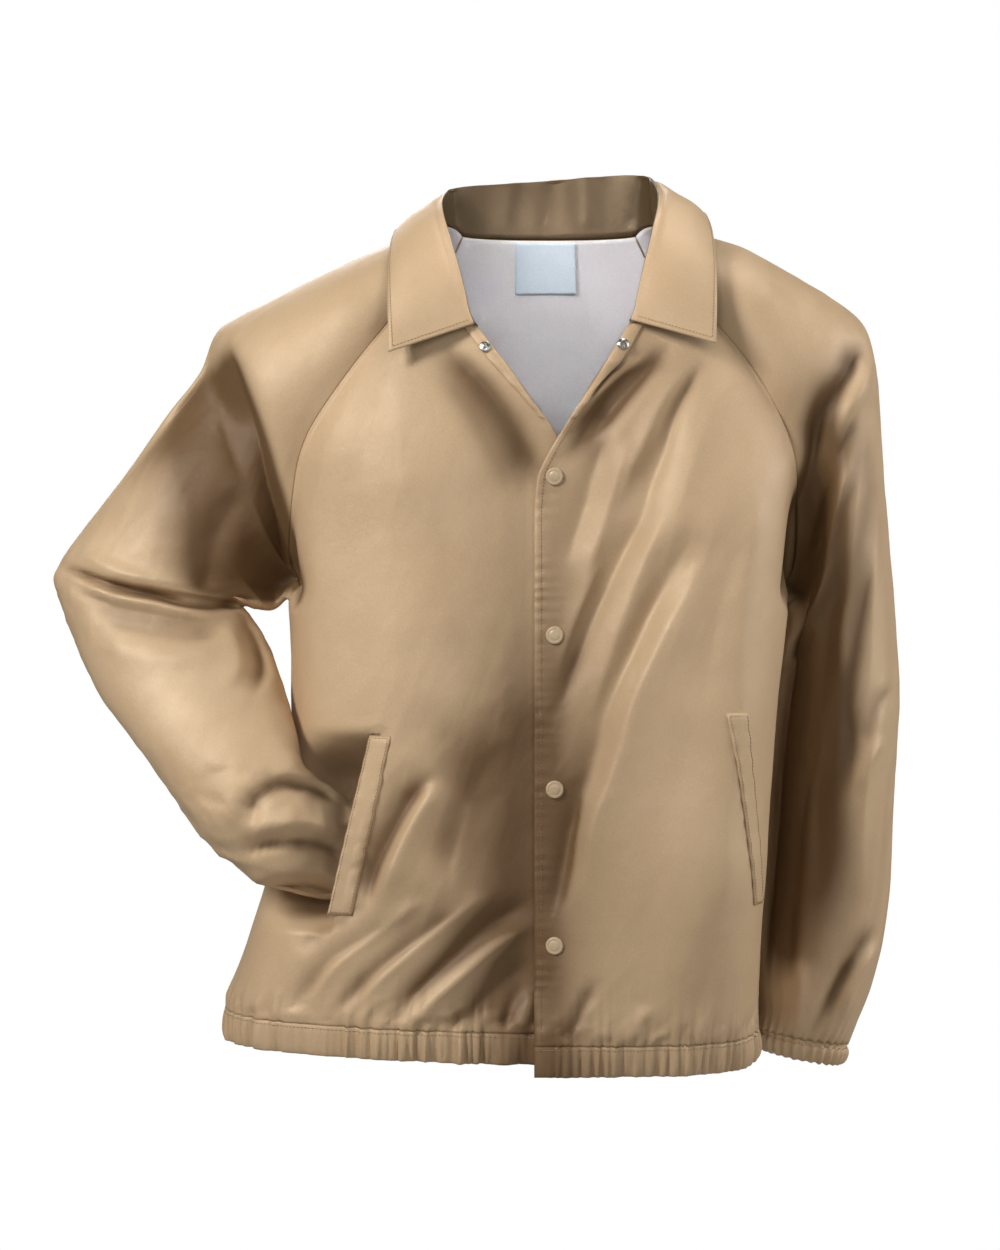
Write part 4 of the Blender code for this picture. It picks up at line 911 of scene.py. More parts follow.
def pucker_edge(panel, side):
    """Raises a front by the small puckers that its edge's stitching draws in."""
    run = row_lengths(panel["points"])
    height = panel["points"][:, 0, 2]
    length = lengths(panel["points"][:, 0])
    wander = np.stack([length / 0.030, length * 0 + 0.3, length * 0 + 5.0 * side], -1)
    strength = (0.35 + 0.65 * ease(noise(wander, 19), -0.4, 0.5)) * (1 - 0.5 * ease(height, -0.24, -0.16))
    wave = np.sin(2 * np.pi * (length / 0.0095 + 1.3 * noise(wander * 1.7, 23)))
    across = bell(run, 0.0045, 0.0050) + 0.25 * bell(run, 0.016, 0.007)
    lift = 0.0007 * (strength * wave)[:, None] * across
    panel["points"] = panel["points"] + panel["normals"] * lift[..., None]


def sample(panel, row, column):
    """Points and outward directions of a panel at fractional rows and columns."""
    low = np.minimum(row.astype(int), panel["points"].shape[0] - 2)
    left = np.minimum(column.astype(int), panel["points"].shape[1] - 2)
    down, over = (row - low)[..., None], (column - left)[..., None]
    found = []
    for name in ("points", "normals"):
        grid = panel[name]
        near = grid[low, left] * (1 - over) + grid[low, left + 1] * over
        far = grid[low + 1, left] * (1 - over) + grid[low + 1, left + 1] * over
        found.append(near * (1 - down) + far * down)
    return found[0], unit(found[1])


def columns_at(panel, rows, distance):
    """The fractional column of each row that lies at a distance along the row from its first column."""
    run = row_lengths(panel["points"][rows])
    steps = np.arange(run.shape[1])
    distance = np.broadcast_to(distance, (len(rows), np.shape(distance)[-1]))
    return np.stack([np.interp(distance[i], run[i], steps) for i in range(len(rows))])


def place_on(panel, x, z):
    """The point of a panel at an x and a height, by the four nearest points of its grid."""
    points, normals = panel["points"].reshape(-1, 3), panel["normals"].reshape(-1, 3)
    away = np.hypot(points[:, 0] - x, points[:, 2] - z)
    near = np.argsort(away)[:4]
    share = 1 / (away[near] + 1e-6)
    share /= share.sum()
    point, normal = (points[near] * share[:, None]).sum(0), unit((normals[near] * share[:, None]).sum(0))
    moved = np.array([x - point[0], 0.0, z - point[2]])
    return point + moved - normal * (moved @ normal), normal


def through(rows, steps):
    """Rows of points carried through smoothly: a Catmull-Rom curve down every column, steps to a row."""
    first, last = 2 * rows[0] - rows[1], 2 * rows[-1] - rows[-2]
    padded = np.concatenate([first[None], rows, last[None]])
    where = np.arange((len(rows) - 1) * steps + 1) / steps
    low = np.minimum(where.astype(int), len(rows) - 2)
    t = (where - low)[:, None, None]
    a, b, c, d = (padded[low + i] for i in range(4))
    return 0.5 * (2 * b + (c - a) * t + (2 * a - 5 * b + 4 * c - d) * t**2 + (3 * b - a - 3 * c + d) * t**3)


def mesh_piece(name, points, faces, materials, uv=None):
    """A piece at the origin made of points and faces."""
    mesh = bpy.data.meshes.new(name)
    mesh.from_pydata(points.tolist(), [], faces.tolist())
    if uv is not None:
        layer = mesh.uv_layers.new(name="cloth")
        corners = np.zeros(len(mesh.loops), np.int32)
        mesh.loops.foreach_get("vertex_index", corners)
        layer.data.foreach_set("uv", uv[corners].astype(np.float32).ravel())
    for material in materials:
        mesh.materials.append(material)
    mesh.shade_smooth()
    mesh.validate()
    obj = bpy.data.objects.new(name, mesh)
    bpy.context.scene.collection.objects.link(obj)
    return obj


def own(obj, slot, *nodes):
    """Joins a piece to the jacket's one body and hides the CAD parts of the nodes it stands for."""
    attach(obj, "root")
    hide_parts(*nodes)


def cloth_piece(node, grid, thick=CLOTH, materials=None, slot="shell_cloth", flipped=False, around=False,
                skipped=None, painted_shade=None, second=0):
    """A CAD node's cloth: a sheet from a grid of points, its thickness added inwards, its UV map in metres.

    The first few rows of cells can have the second material, and a painted shade per point can be stored for
    the material to darken the colour by.
    """
    materials = materials or [TAN_CLOTH, TAN_CLOTH]
    faces = grid_faces(*grid.shape[:2], skipped)
    if flipped:
        faces = faces[:, ::-1]
    uv = np.stack([row_lengths(grid), row_lengths(grid.transpose(1, 0, 2)).T], -1).reshape(-1, 2)
    obj = mesh_piece(node + "_cloth", grid.reshape(-1, 3), faces, materials, uv)
    if second:
        index = np.zeros(len(faces), np.int32)
        index[: second * (grid.shape[1] - 1)] = 1
        obj.data.polygons.foreach_set("material_index", index)
    # A painted shade per point, stored for the cloth's material to darken its colour by.
    if painted_shade is not None:
        shade = obj.data.attributes.new("painted_shade", "FLOAT", "POINT")
        shade.data.foreach_set("value", painted_shade.astype(np.float32).ravel())
    if around:
        weld = obj.modifiers.new("weld", "WELD")
        weld.merge_threshold = WELD_DISTANCE
    solidify = obj.modifiers.new("thickness", "SOLIDIFY")
    solidify.thickness = thick
    solidify.offset = -1.0
    solidify.use_even_offset = False
    solidify.material_offset = 1
    own(obj, slot, node)


def tube_faces(rows, sides):
    """The four-sided faces of rings of points, one after another."""
    row, column = np.meshgrid(np.arange(rows - 1), np.arange(sides), indexing="ij")
    near, beside = row * sides + column, row * sides + (column + 1) % sides
    return np.stack([near, beside, beside + sides, near + sides], -1).reshape(-1, 4)


def stitches(name, lines, material=None, pitch=0.0030, radius=0.00028, lift=0.0002):
    """Sewn stitches along lines: each is a small spindle, seven tenths of the pitch long, in the cloth.

    A line is a pair of arrays: its points and the outward directions there.
    """
    centres, forwards, outs = [], [], []
    for points, normals in lines:
        length = lengths(points)
        count = max(2, int(length[-1] / pitch))
        where = (np.arange(count) + 0.5) * length[-1] / count
        ahead, behind = read(where + pitch / 4, length, points), read(where - pitch / 4, length, points)
        normal = unit(read(where, length, normals))
        centres.append(read(where, length, points) + normal * lift)
        forwards.append(unit(ahead - behind))
        outs.append(normal)
    centre, forward, out = (np.concatenate(part) for part in (centres, forwards, outs))
    side = unit(np.cross(forward, out))
    along = np.array([-0.5, -0.36, 0.0, 0.36, 0.5]) * 0.72 * pitch
    wide = np.array([0.25, 0.85, 1.0, 0.85, 0.25])[:, None] * radius
    bow = np.array([-0.9, -0.2, 0.25, -0.2, -0.9])[:, None] * radius
    turn = np.arange(6) * np.pi / 3
    ring = (
        centre[:, None, None]
        + forward[:, None, None] * along[:, None, None]
        + side[:, None, None] * (wide * np.cos(turn))[..., None]
        + out[:, None, None] * (wide * np.sin(turn) + bow)[..., None]
    )
    start = np.arange(len(centre))[:, None, None] * along.size * turn.size
    caps = np.array([[5, 4, 3, 2], [5, 2, 1, 0], [24, 25, 26, 27], [24, 27, 28, 29]])
    faces = np.concatenate([(start + part).reshape(-1, 4) for part in (tube_faces(5, 6), caps)])
    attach(mesh_piece(name, ring.reshape(-1, 3), faces, [material or TAN_THREAD]), "root")


def turned(name, profile, point, normal, material, sides=48):
    """A round part turned about its axis: its profile is pairs of radius and height in millimetres."""
    radius, height = np.array(profile).T[:, :, None] / 1000
    turn = np.arange(sides) * 2 * np.pi / sides
    aim = np.array(Vector(normal).to_track_quat("Z", "Y").to_matrix())
    local = np.stack([radius * np.cos(turn), radius * np.sin(turn), height + 0 * turn], -1)
    points = local.reshape(-1, 3) @ aim.T + np.array(point)
    return mesh_piece(name, points, tube_faces(len(profile), sides)[:, [0, 3, 2, 1]], [material])


def colour(red, green, blue):
    """A screen colour of 0 to 255 as the linear values that a shader takes."""
    value = np.array([red, green, blue]) / 255
    linear = np.where(value <= 0.04045, value / 12.92, ((value + 0.055) / 1.055) ** 2.4)
    return (*linear.tolist(), 1.0)


class Nodes:
    """A node tree, added to and joined by short calls."""

    def __init__(self, tree):
        self.tree = tree

    def add(self, kind, inputs=None, **settings):
        node = self.tree.nodes.new("ShaderNode" + kind)
        for key, value in settings.items():
            setattr(node, key, value)
        self.put(node, inputs or {})
        return node

    def put(self, node, inputs):
        for key, value in inputs.items():
            if hasattr(value, "links"):
                self.tree.links.new(value, node.inputs[key])
            else:
                node.inputs[key].default_value = value

    def noise(self, place, scale, detail, rough=0.6):
        inputs = {"Vector": place, "Scale": scale, "Detail": detail, "Roughness": rough}
        return self.add("TexNoise", inputs).outputs["Fac"]

    def spread(self, value, low, high):
        inputs = {"Value": value, "From Min": 0.3, "From Max": 0.7, "To Min": low, "To Max": high}
        return self.add("MapRange", inputs).outputs[0]

    def mix(self, factor, first, second, kind="MULTIPLY"):
        inputs = {"Factor": factor, 6: first, 7: second}
        return self.add("Mix", inputs, data_type="RGBA", blend_type=kind).outputs[2]

    def bump(self, height, strength, distance, **more):
        inputs = {"Height": height, "Strength": strength, "Distance": distance, **more}
        return self.add("Bump", inputs).outputs["Normal"]


def new_material(name):
    """A material, its nodes, its shader and its Object coordinates."""
    material = bpy.data.materials.new(name)
    material.use_nodes = True
    nodes = Nodes(material.node_tree)
    shader = nodes.tree.nodes["Principled BSDF"]
    return material, nodes, shader, nodes.add("TexCoord").outputs["Object"]


# What the cloth's colour is multiplied by where shade is painted into it: a warm dark tint.
PAINTED_SHADE_TINT = (0.28, 0.225, 0.165, 1.0)


def woven(name, base, dark, light, roughness, sheen, weave=0.00062, crease=0.35, satin=0.0):
    """Plain-weave cloth: threads crossing on the UV map, small creases, uneven colour and gloss, and painted
    shade that darkens the colour where the piece stores it.
    """
    material, nodes, shader, place = new_material(name)
    base, dark, light = colour(*base), colour(*dark), colour(*light)
    uv = nodes.add("UVMap", uv_map="cloth").outputs["UV"]
    thread = {"Vector": uv, "Scale": 0.314 / weave, "Distortion": 0.6, "Detail": 1.0, "Detail Scale": 2.0}
    threads = [nodes.add("TexWave", thread, bands_direction=turn).outputs["Fac"] for turn in "XY"]
    cross = nodes.add("Math", dict(enumerate(threads)), operation="MULTIPLY").outputs[0]
    small = nodes.noise(place, 55.0, 4.0)
    ramp = nodes.add("ValToRGB", {"Fac": nodes.noise(place, 9.0, 3.0, 0.55)})
    for element, position, shade in zip(ramp.color_ramp.elements, (0.30, 0.70), (dark, light)):
        element.position = position
        element.color = shade
    tone = nodes.mix(0.35, ramp.outputs["Color"], base, "MIX")
    speckled = nodes.mix(1.0, tone, nodes.spread(nodes.noise(place, 900.0, 2.0), 0.93, 1.05))
    # The painted shade stored on the piece darkens the colour towards the warm dark tint.
    painted_shade = nodes.add("Attribute", attribute_name="painted_shade").outputs["Fac"]
    creases = nodes.bump(small, crease, 0.0016)
    nodes.put(shader, {
        "Base Color": nodes.mix(painted_shade, speckled, PAINTED_SHADE_TINT),
        "Roughness": nodes.spread(small, roughness - 0.05, roughness + 0.07),
        "Normal": nodes.bump(cross, 0.25, 0.00025, Normal=creases),
        "Metallic": satin,
        "Specular IOR Level": 0.35,
        "Sheen Weight": sheen,
        "Sheen Roughness": 0.35,
        "Sheen Tint": light,
    })
    return material


def plain(name, base, roughness, metallic=0.0, scale=400.0, spread=0.10):
    """Lacquer, thread or metal: fine grain in its colour and gloss, and light wear."""
    material, nodes, shader, place = new_material(name)
    grain = nodes.noise(place, scale, 4.0)
    nodes.put(shader, {
        "Base Color": nodes.mix(1.0, colour(*base), nodes.spread(grain, 1 - spread, 1 + spread)),
        "Roughness": nodes.spread(grain, roughness - 0.06, roughness + 0.08),
        "Normal": nodes.bump(grain, 0.10, 0.0003),
        "Metallic": metallic,
    })
    return material


TAN_CLOTH = woven("tan_nylon", (203, 173, 136), (197, 166, 129), (208, 179, 143), 0.45, 0.04, satin=0.09)
LINING = woven("grey_lining", (236, 232, 234), (229, 224, 227), (241, 238, 240), 0.40, 0.15, crease=0.2)
# A darker copy of the tan nylon: painted shade for the inside of the collar's stand, which is the same cloth
# as the rest.
COLLAR_STAND_PAINTED_SHADE = woven("tan_nylon_painted_shade", (106, 87, 61), (96, 78, 54), (116, 95, 68), 0.36, 0.05, satin=0.30)
LABEL_CLOTH = woven(
    "white_label_tape", (214, 226, 236), (205, 219, 230), (224, 233, 240), 0.50, 0.05, weave=0.0005,
    crease=0.1,
)
TAN_THREAD = plain("tan_thread", (150, 122, 88), 0.65, scale=2500.0)
WHITE_THREAD = plain("white_thread", (205, 215, 222), 0.65, scale=2500.0)
CAP_LACQUER = plain("tan_lacquer", (190, 166, 133), 0.34, scale=300.0, spread=0.06)
SNAP_METAL = plain("snap_metal", (190, 188, 184), 0.26, metallic=1.0, scale=500.0)


def edge_lowered(panel):
    """A panel's points with their borders turned in slightly, so that every seam shows as a fine groove."""
    rows, columns = panel["points"].shape[:2]
    row, column = np.arange(rows)[:, None], np.arange(columns)[None]
    near = np.minimum(np.minimum(row, rows - 1 - row), np.minimum(column, columns - 1 - column))
    depth = np.where(near == 0, 0.0005, np.where(near == 1, 0.00012, 0.0)) * (row > 1)
    return panel["points"] - panel["normals"] * depth[..., None]


def build_panels():
    """The five main panels as cloth, with the grey lining on their inner sides and painted shade in their
    colour.
    """
    for name, panel in SHELL.items():
        cloth_piece(
            name, edge_lowered(panel), materials=[TAN_CLOTH, LINING], flipped=name in FLIPPED,
            around="sleeve" in name, skipped=panel["skipped"], painted_shade=panel["painted_shade"],
        )


# The casing's and the cuff's profiles from the seam round the edge and up inside: how far down it is as a
# share of the way, how far out in millimetres, and how strongly it is gathered.
CASING_PROFILE = (
    (0.00, 0.0, 1.0), (0.06, 0.3, 1.05), (0.15, 0.7, 1.2), (0.28, 1.0, 1.5), (0.42, 1.0, 1.8),
    (0.56, 0.9, 1.9), (0.70, 0.6, 1.9), (0.83, 0.0, 1.7), (0.93, -0.8, 1.4), (0.985, -1.6, 1.2),
    (1.00, -2.6, 1.0), (0.97, -3.6, 0.9), (0.86, -4.0, 0.8), (0.70, -4.2, 0.7), (0.55, -4.0, 0.6),
)
CUFF_PROFILE = (
    (0.00, -0.4, 0.9), (0.08, -1.2, 0.5), (0.16, -0.4, 0.7), (0.28, 1.0, 1.0), (0.45, 1.4, 1.2),
    (0.62, 1.2, 1.2), (0.78, 0.6, 1.1), (0.90, -0.4, 0.9), (0.98, -1.8, 0.8), (1.00, -3.0, 0.7),
    (0.97, -4.2, 0.7), (0.85, -5.0, 0.7), (0.65, -5.2, 0.7), (0.40, -5.0, 0.7),
)
GATHER_SPACING = 0.0016


def build_casing(name, hem, flipped):
    """The hem's casing under a panel: gathered cloth down to the hem and a little way up inside."""
    panel = SHELL[name]
    last = panel["points"].shape[1] - 1
    fine = np.linspace(0, last, int(panel["run"][-1] / GATHER_SPACING) + 1)
    top, out = sample(panel, np.zeros_like(fine), fine)
    above, _ = sample(panel, np.full_like(fine, 3.0), fine)
    run = np.interp(fine, np.arange(last + 1), panel["run"])
    ripple = hem_gathers(run, panel["seed"]) * sewn_ends(run)
    fall = unit(top - above) * 0.4 + np.array([0.0, 0.0, -0.6])
    drop = top[:, 2] - follow(fine / last, hem["share"], hem["height"])
    fall = fall / np.abs(fall[:, 2:]) * drop[:, None]
    flat_out = unit(out * (1, 1, 0.2))
    grid = np.array([
        top + fall * share + flat_out * (lift / 1000 + ripple * (roll - 1.0) * 0.8)[:, None]
        for share, lift, roll in CASING_PROFILE
    ])
    # The panel's painted shade carries on down the casing.
    shade = np.interp(fine, np.arange(last + 1), panel["painted_shade"][2])
    painted_shade = np.repeat(shade[None], len(grid), axis=0)
    cloth_piece(name + "_casing", grid, THIN_CLOTH, flipped=flipped, painted_shade=painted_shade)
    return grid


def build_cuff(side, move, flipped):
    """An elastic cuff: a gathered ring from the sleeve's end along a move, rolled back in at its edge."""
    ring = SHELL[side + "_sleeve"]["points"][-1, :-1]
    centre = ring.mean(0)
    move = np.array(move)
    out = unit(ring - centre)
    out = unit(out - unit(move) * (out @ unit(move))[:, None])
    shares = np.linspace(0, 1, SLEEVE_COLUMNS + 1)[:-1]
    ripple = cuff_gathers(shares, CUFF_WAVES[side + "_sleeve"])
    grid = np.array([
        centre + (ring - centre) * (1 - 0.05 * share) + move * share
        + out * (lift / 1000 + ripple * (deep - 0.9))[:, None]
        for share, lift, deep in CUFF_PROFILE
    ])
    grid = np.concatenate([grid, grid[:, :1]], axis=1)
    cloth_piece(side + "_cuff", grid, THIN_CLOTH, flipped=flipped, around=True)
    return grid


def neck_stations(count):
    """Evenly spread points of the neckline, from the wearer's right front end round the back to the left."""
    right, left, behind = (SHELL[name]["points"][-1] for name in ("right_front", "left_front", "back"))
    right_over, left_over = SHELL["right_sleeve"]["points"][0], SHELL["left_sleeve"]["points"][0]
    line = np.concatenate([right, right_over[1:], behind[::-1][1:], left_over[::-1][1:], left[::-1][1:]])
    length = lengths(line)
    return read(np.linspace(0, length[-1], count), length, line)


def grid_normals(grid):
    """Directions square to a grid's rows and columns."""
    return unit(np.cross(np.gradient(grid, axis=1), np.gradient(grid, axis=0)))


# The stand's soft upright creases: place along the collar, lean, width and height in millimetres.
STAND_CREASES = (
    (0.30, 0.05, 7, 2.0), (0.37, -0.04, 6, -1.6), (0.44, 0.06, 6, 1.8), (0.50, 0.03, 7, -1.8),
    (0.56, -0.05, 6, 1.8), (0.62, 0.05, 6, -1.5), (0.69, -0.04, 7, 1.8),
)
COLLAR_LENGTH = 0.62
STAND_CELLS = 16
LEAF_START = 20


def collar_grid():
    """The collar's points: from the neckline a stand up, a rounded fold and a leaf down to its edge.

    The stand has a few soft upright creases and the leaf a slight wave.
    """
    seam = neck_stations(241)
    share = np.linspace(0, 1, len(seam))
    half = 1 - np.abs(2 * share - 1)
    seam = seam - unit(seam * (1, 1, 0)) * 0.0006
    seam[:, 2] += 0.0014
    tilt = np.interp(half, COLLAR_TILT["share"], COLLAR_TILT["tilt"])
    lines = []
    for part in ("fold_", "edge_"):
        line = place_of(COLLAR, part, half)
        line[:, 0] *= np.where(share >= 0.5, 1.0, -1.0)
        line[:, 2] += tilt * line[:, 0]
        lines.append(line)
    fold, edge = lines
    stand, leaf = unit(seam - fold), unit(edge - fold)
    away = np.minimum(FOLD_ROUND, 0.5 * np.linalg.norm(seam - fold, axis=1))[:, None]
    puff = unit(leaf - stand) * ease(half, 0.0, 0.25)[:, None] * LEAF_PUFF
    bulge = fold * 0.45 + edge * 0.55 + puff
    rows = np.stack([
        seam,
        (seam + fold + stand * away) / 2,
        fold + stand * away,
        fold + (stand + leaf) * away * 0.22,
        fold + leaf * away,
        fold * 0.62 + bulge * 0.38 + puff * 0.4,
        bulge,
        bulge * 0.45 + edge * 0.55 + puff * 0.2,
        edge,
    ])
    grid = through(rows, 5)
    near_middle = bell(share[1:-1], 0.5, 0.06)[:, None]
    for _ in range(COLLAR_SMOOTHING):
        even = (grid[:, :-2] + grid[:, 2:]) / 2
        grid[:, 1:-1] += 0.5 * near_middle * (even - grid[:, 1:-1])
    normal = grid_normals(grid)
    level = np.linspace(0, 1, len(grid))[:, None]
    inside = ease(level, 0.02, 0.08) * (1 - ease(level, 0.26, 0.40)) * ease(half, 0.30, 0.60)
    ripple = sum(
        deep / 1000 * bell((share - lean * level) * COLLAR_LENGTH * 1000, place * COLLAR_LENGTH * 1000, wide)
        for place, lean, wide, deep in STAND_CREASES
    )
    grid = grid + normal * (ripple * inside)[..., None]
    wave = 0.0
    for high, run, rise, start, seed in ((0.0009, 0.035, 2.0, 0.0, 61), (0.0016, 0.090, 1.0, 4.0, 63)):
        arc = share * COLLAR_LENGTH
        place = np.stack(np.broadcast_arrays(arc / run, level * rise, 0 * arc + start), -1)
        wave = wave + high * noise(place, seed)
    return grid + normal * (wave * ease(level, 0.55, 0.75))[..., None]


def strip_on(panel, rows, distance):
    """Points and outward directions on a panel at fractional rows and at distances along each of them."""
    columns = columns_at(panel, np.round(rows).astype(int), distance)
    return sample(panel, np.broadcast_to(rows[:, None], columns.shape), columns)


def build_welt(side):
    """A pocket's welt: a folded strip of even width on the front, its sides standing a little proud.

    On the wearer's right it lies over the pocket's mouth, and a smooth curve through its own points carries
    it over the gap.
    """
    name = "left" if side > 0 else "right"
    welt = FRONT_TABLES[side][2]
    panel = SHELL[name + "_front"]
    heights = panel["points"][:, POCKET_COLUMN, 2]
    level = np.arange(len(heights))
    rows = np.linspace(*np.interp(welt["height"], heights, level), WELT_ROWS)
    run = np.interp(rows, level, row_lengths(panel["points"])[:, POCKET_COLUMN])
    across = np.linspace(-1, 1, 15)
    base, out = strip_on(panel, rows, run[:, None] + across * WELT_WIDE / 2)
    if side < 0:
        pace = (base[:, 7] - base[:, 3]) / (across[7] - across[3])
        pace, line = (
            np.stack([np.polyval(np.polyfit(rows, values[:, i], power), rows) for i in range(3)], -1)
            for values, power in ((pace, 3), (base[:, 7], 5))
        )
        straight = line[:, None] + pace[:, None] * across[None, :, None]
        base = np.where((across >= 0.0)[None, :, None], straight, base)
        out = unit(np.broadcast_to(out[:, 4:7].mean((0, 1)), out.shape))
    step = np.arange(WELT_ROWS)
    end = np.minimum(step, WELT_ROWS - 1 - step)[:, None]
    inward = 1 - np.abs(across)
    round_edge = np.clip(inward / 0.16, 0, 1) ** 0.5
    round_end = np.clip(end / 1.5, 0, 1) ** 0.5
    lift = 0.0008 + 0.0014 * round_edge * round_end
    groove = -0.0005 * bell(inward * WELT_WIDE / 2, 0.0022, 0.0006)
    wave = 0.0005 * np.sin(np.linspace(0, 60, WELT_ROWS) + 0.6)[:, None] * bell(inward, 0, 0.4)
    grid = base + out * (lift + groove + wave)[..., None]
    cloth_piece(name + "_welt", grid, WELT_CLOTH, flipped=side < 0)
    return grid


def build_facing(side):
    """The strip of facing that rolls out over a front's open edge, widest at the collar."""
    name = "left" if side > 0 else "right"
    edge = FRONT_TABLES[side][0]
    panel = SHELL[name + "_front"]
    heights = panel["points"][:, 0, 2]
    count = np.arange(len(heights))
    rows = np.linspace(*np.interp([-0.165, edge["height"][-1] - 0.003], heights, count), 44)
    level = np.interp(rows, count, heights)
    wide = 0.006 + 0.010 * ease(level, -0.160, -0.110)
    across = np.linspace(0, 1, 13)
    base, out = strip_on(panel, rows, 0.0004 + across * wide[:, None])
    lift = 0.0012 + 0.0020 * np.sin(across * np.pi * 0.85) ** 0.8
    fade = ease(level, -0.165, -0.150)[:, None]
    wave = 0.0004 * np.sin(level * 400)[:, None] * across
    grid = base + out * (lift * (0.3 + 0.7 * fade) + wave)[..., None]
    cloth_piece(name + "_facing", grid, flipped=side < 0)


def build_lining():
    """The lining inside the back, above the armpits: smooth cloth with a few soft folds."""
    panel = SHELL["back"]
    points, normals = (panel[name][ROWS_BELOW_ARMPIT:, 1:-1] for name in ("points", "normals"))
    down = np.linspace(1, 0, len(points))[:, None]
    soft = crumple(points, (0.1, 0.0, 1.0), 0.120, 0.030, 33)
    lift = CLOTH + 0.0008 + 0.0030 * ease(down, 0.0, 0.35) - 0.0012 * soft * ease(down, 0.02, 0.20)
    grid = points - normals * lift[..., None]
    cloth_piece("back_lining", grid, LINING_CLOTH, [LINING, LINING], "lining_cloth")


def build_label():
    """The blank label at the back neck: woven tape with folded ends, sewn along its four sides."""
    across = np.linspace(-1, 1, 33)
    down = np.linspace(0, 1, 27)[:, None]
    x = -0.003 + across * LABEL_WIDE / 2 + 0 * down
    height = 0.004 - LABEL_TALL * down + 0 * across
    base = torso(np.pi - angle_of_x(x, height), height, -LABEL_INSET - 0.0030 * down + 0 * across)
    puff = 0.0006 * (1 - across**2) * np.sin(down * np.pi)
    edge = np.minimum(1 - np.abs(across), np.minimum(down, 1 - down) * 2)
    press = -0.0003 * (1 - ease(edge, 0.0, 0.08))
    grid = base - unit(base * (1, 1, 0)) * (puff + press)[..., None]
    cloth_piece("neck_label", grid, THIN_CLOTH, [LABEL_CLOTH, LABEL_CLOTH], "label_cloth")
    return grid


# Profiles of the snaps' parts in millimetres: radius and height.
CAP = (
    (0.0, 2.90), (2.0, 2.85), (3.4, 2.70), (4.2, 2.35), (4.7, 2.15), (5.2, 2.20), (5.9, 2.35), (6.6, 2.25),
    (7.2, 1.80), (7.5, 1.10), (7.5, 0.50), (7.2, 0.0), (0.0, 0.0),
)
SOCKET = (
    (2.2, 0.6), (2.2, 2.0), (2.6, 2.4), (3.4, 2.3), (3.8, 1.7), (4.4, 1.4), (5.0, 1.2), (5.2, 0.6),
    (5.0, 0.0), (2.2, 0.0), (2.2, 0.6),
)
STUD = (
    (0.0, 3.0), (1.0, 3.0), (1.7, 2.7), (1.9, 2.1), (1.5, 1.4), (1.8, 1.0), (3.2, 1.0), (4.4, 0.8),
    (4.8, 0.3), (4.6, 0.0), (0.0, 0.0),
)


def build_snaps():
    """Four closed snaps' caps down the front, and the open socket and stud at the neck."""
    for number, height in enumerate(SNAP_HEIGHTS, start=1):
        point, normal = place_on(SHELL["left_front"], SNAP_LINE, height)
        cap = turned(f"snap_{number}_cap", CAP, point + normal * 0.0002, normal, CAP_LACQUER)
        own(cap, "snap_cap", f"snap_{number}")
    for side, part, end, profile, x, height in (
        ("left", "open_socket", "ring", SOCKET, 0.0585, -0.1035),
        ("right", "open_stud", "post", STUD, -0.0555, -0.1055),
    ):
        point, normal = place_on(SHELL[side + "_front"], x, height)
        metal = turned(f"{part}_{end}", profile, point + normal * 0.0040, normal, SNAP_METAL)
        own(metal, "snap_metal", part)


def frame_lines(grid, away_from, top=None, bottom=None, left=None, right=None, lift=0.0001):
    """Sewing lines parallel to a grid's borders at fractional rows and columns; None leaves a line out.

    They lie on the side that faces away from a point.
    """
    out = grid_normals(grid)
    out = out * np.sign((out * (grid - np.array(away_from))).sum())
    panel = {"points": grid, "normals": out}
    last_row, last_column = grid.shape[0] - 1.0, grid.shape[1] - 1.0
    across = np.linspace(left or 0.0, right or last_column, 4 * grid.shape[1])
    down = np.linspace(top or 0.0, bottom or last_row, 4 * grid.shape[0])
    places = [(np.full_like(across, row), across) for row in (top, bottom) if row is not None]
    places += [(down, np.full_like(down, column)) for column in (left, right) if column is not None]
    found = [sample(panel, *place) for place in places]
    return [(points + normals * lift, normals) for points, normals in found]


def sew(leaf, welts, casings, cuffs, label):
    """Every row of stitches that shows, along fractional rows and columns of the pieces' grids."""
    panel = SHELL["left_front"]
    rows = np.arange(2.0, len(panel["points"]) - 4)
    points, normals = strip_on(panel, rows, np.full((len(rows), 1), 0.0058))
    stitches("front_edge_stitches", [(points[:, 0] + normals[:, 0] * 0.0001, normals[:, 0])])
    stitches("collar_stitches", frame_lines(leaf, (0, 0, 0), None, 18.8, 1.9, 238.1, 0.0002))
    for name, grid in zip(("left_welt", "right_welt"), welts):
        stitches(name + "_stitches", frame_lines(grid, (0, 0, -0.5), 0.9, 58.1, 1.5, 12.5))
    hems = [line for grid in casings for line in frame_lines(grid[:6], (0, 0, -0.7), 1.6)]
    stitches("hem_stitches", hems, pitch=0.0034)
    rings = [line for grid in cuffs for line in frame_lines(grid[:5], grid[:5].mean((0, 1)), 2.2)]
    stitches("cuff_stitches", rings, pitch=0.0034)
    sides = frame_lines(label, (0, 0.5, 0), 1.2, 24.8, 1.2, 30.8)
    stitches("label_stitches", sides, WHITE_THREAD, 0.0026, 0.00022)


SHELL = add_gathers(make_shell())
for front_name, front_side in (("left_front", 1), ("right_front", -1)):
    pucker_edge(SHELL[front_name], front_side)
build_panels()
casing_grids = [
    build_casing("left_front", LEFT_HEM, True),
    build_casing("right_front", RIGHT_HEM, False),
    build_casing("back", BACK_HEM, True),
]
cuff_grids = [build_cuff("left", LEFT_CUFF_MOVE, True), build_cuff("right", RIGHT_CUFF_MOVE, False)]
collar_points = collar_grid()
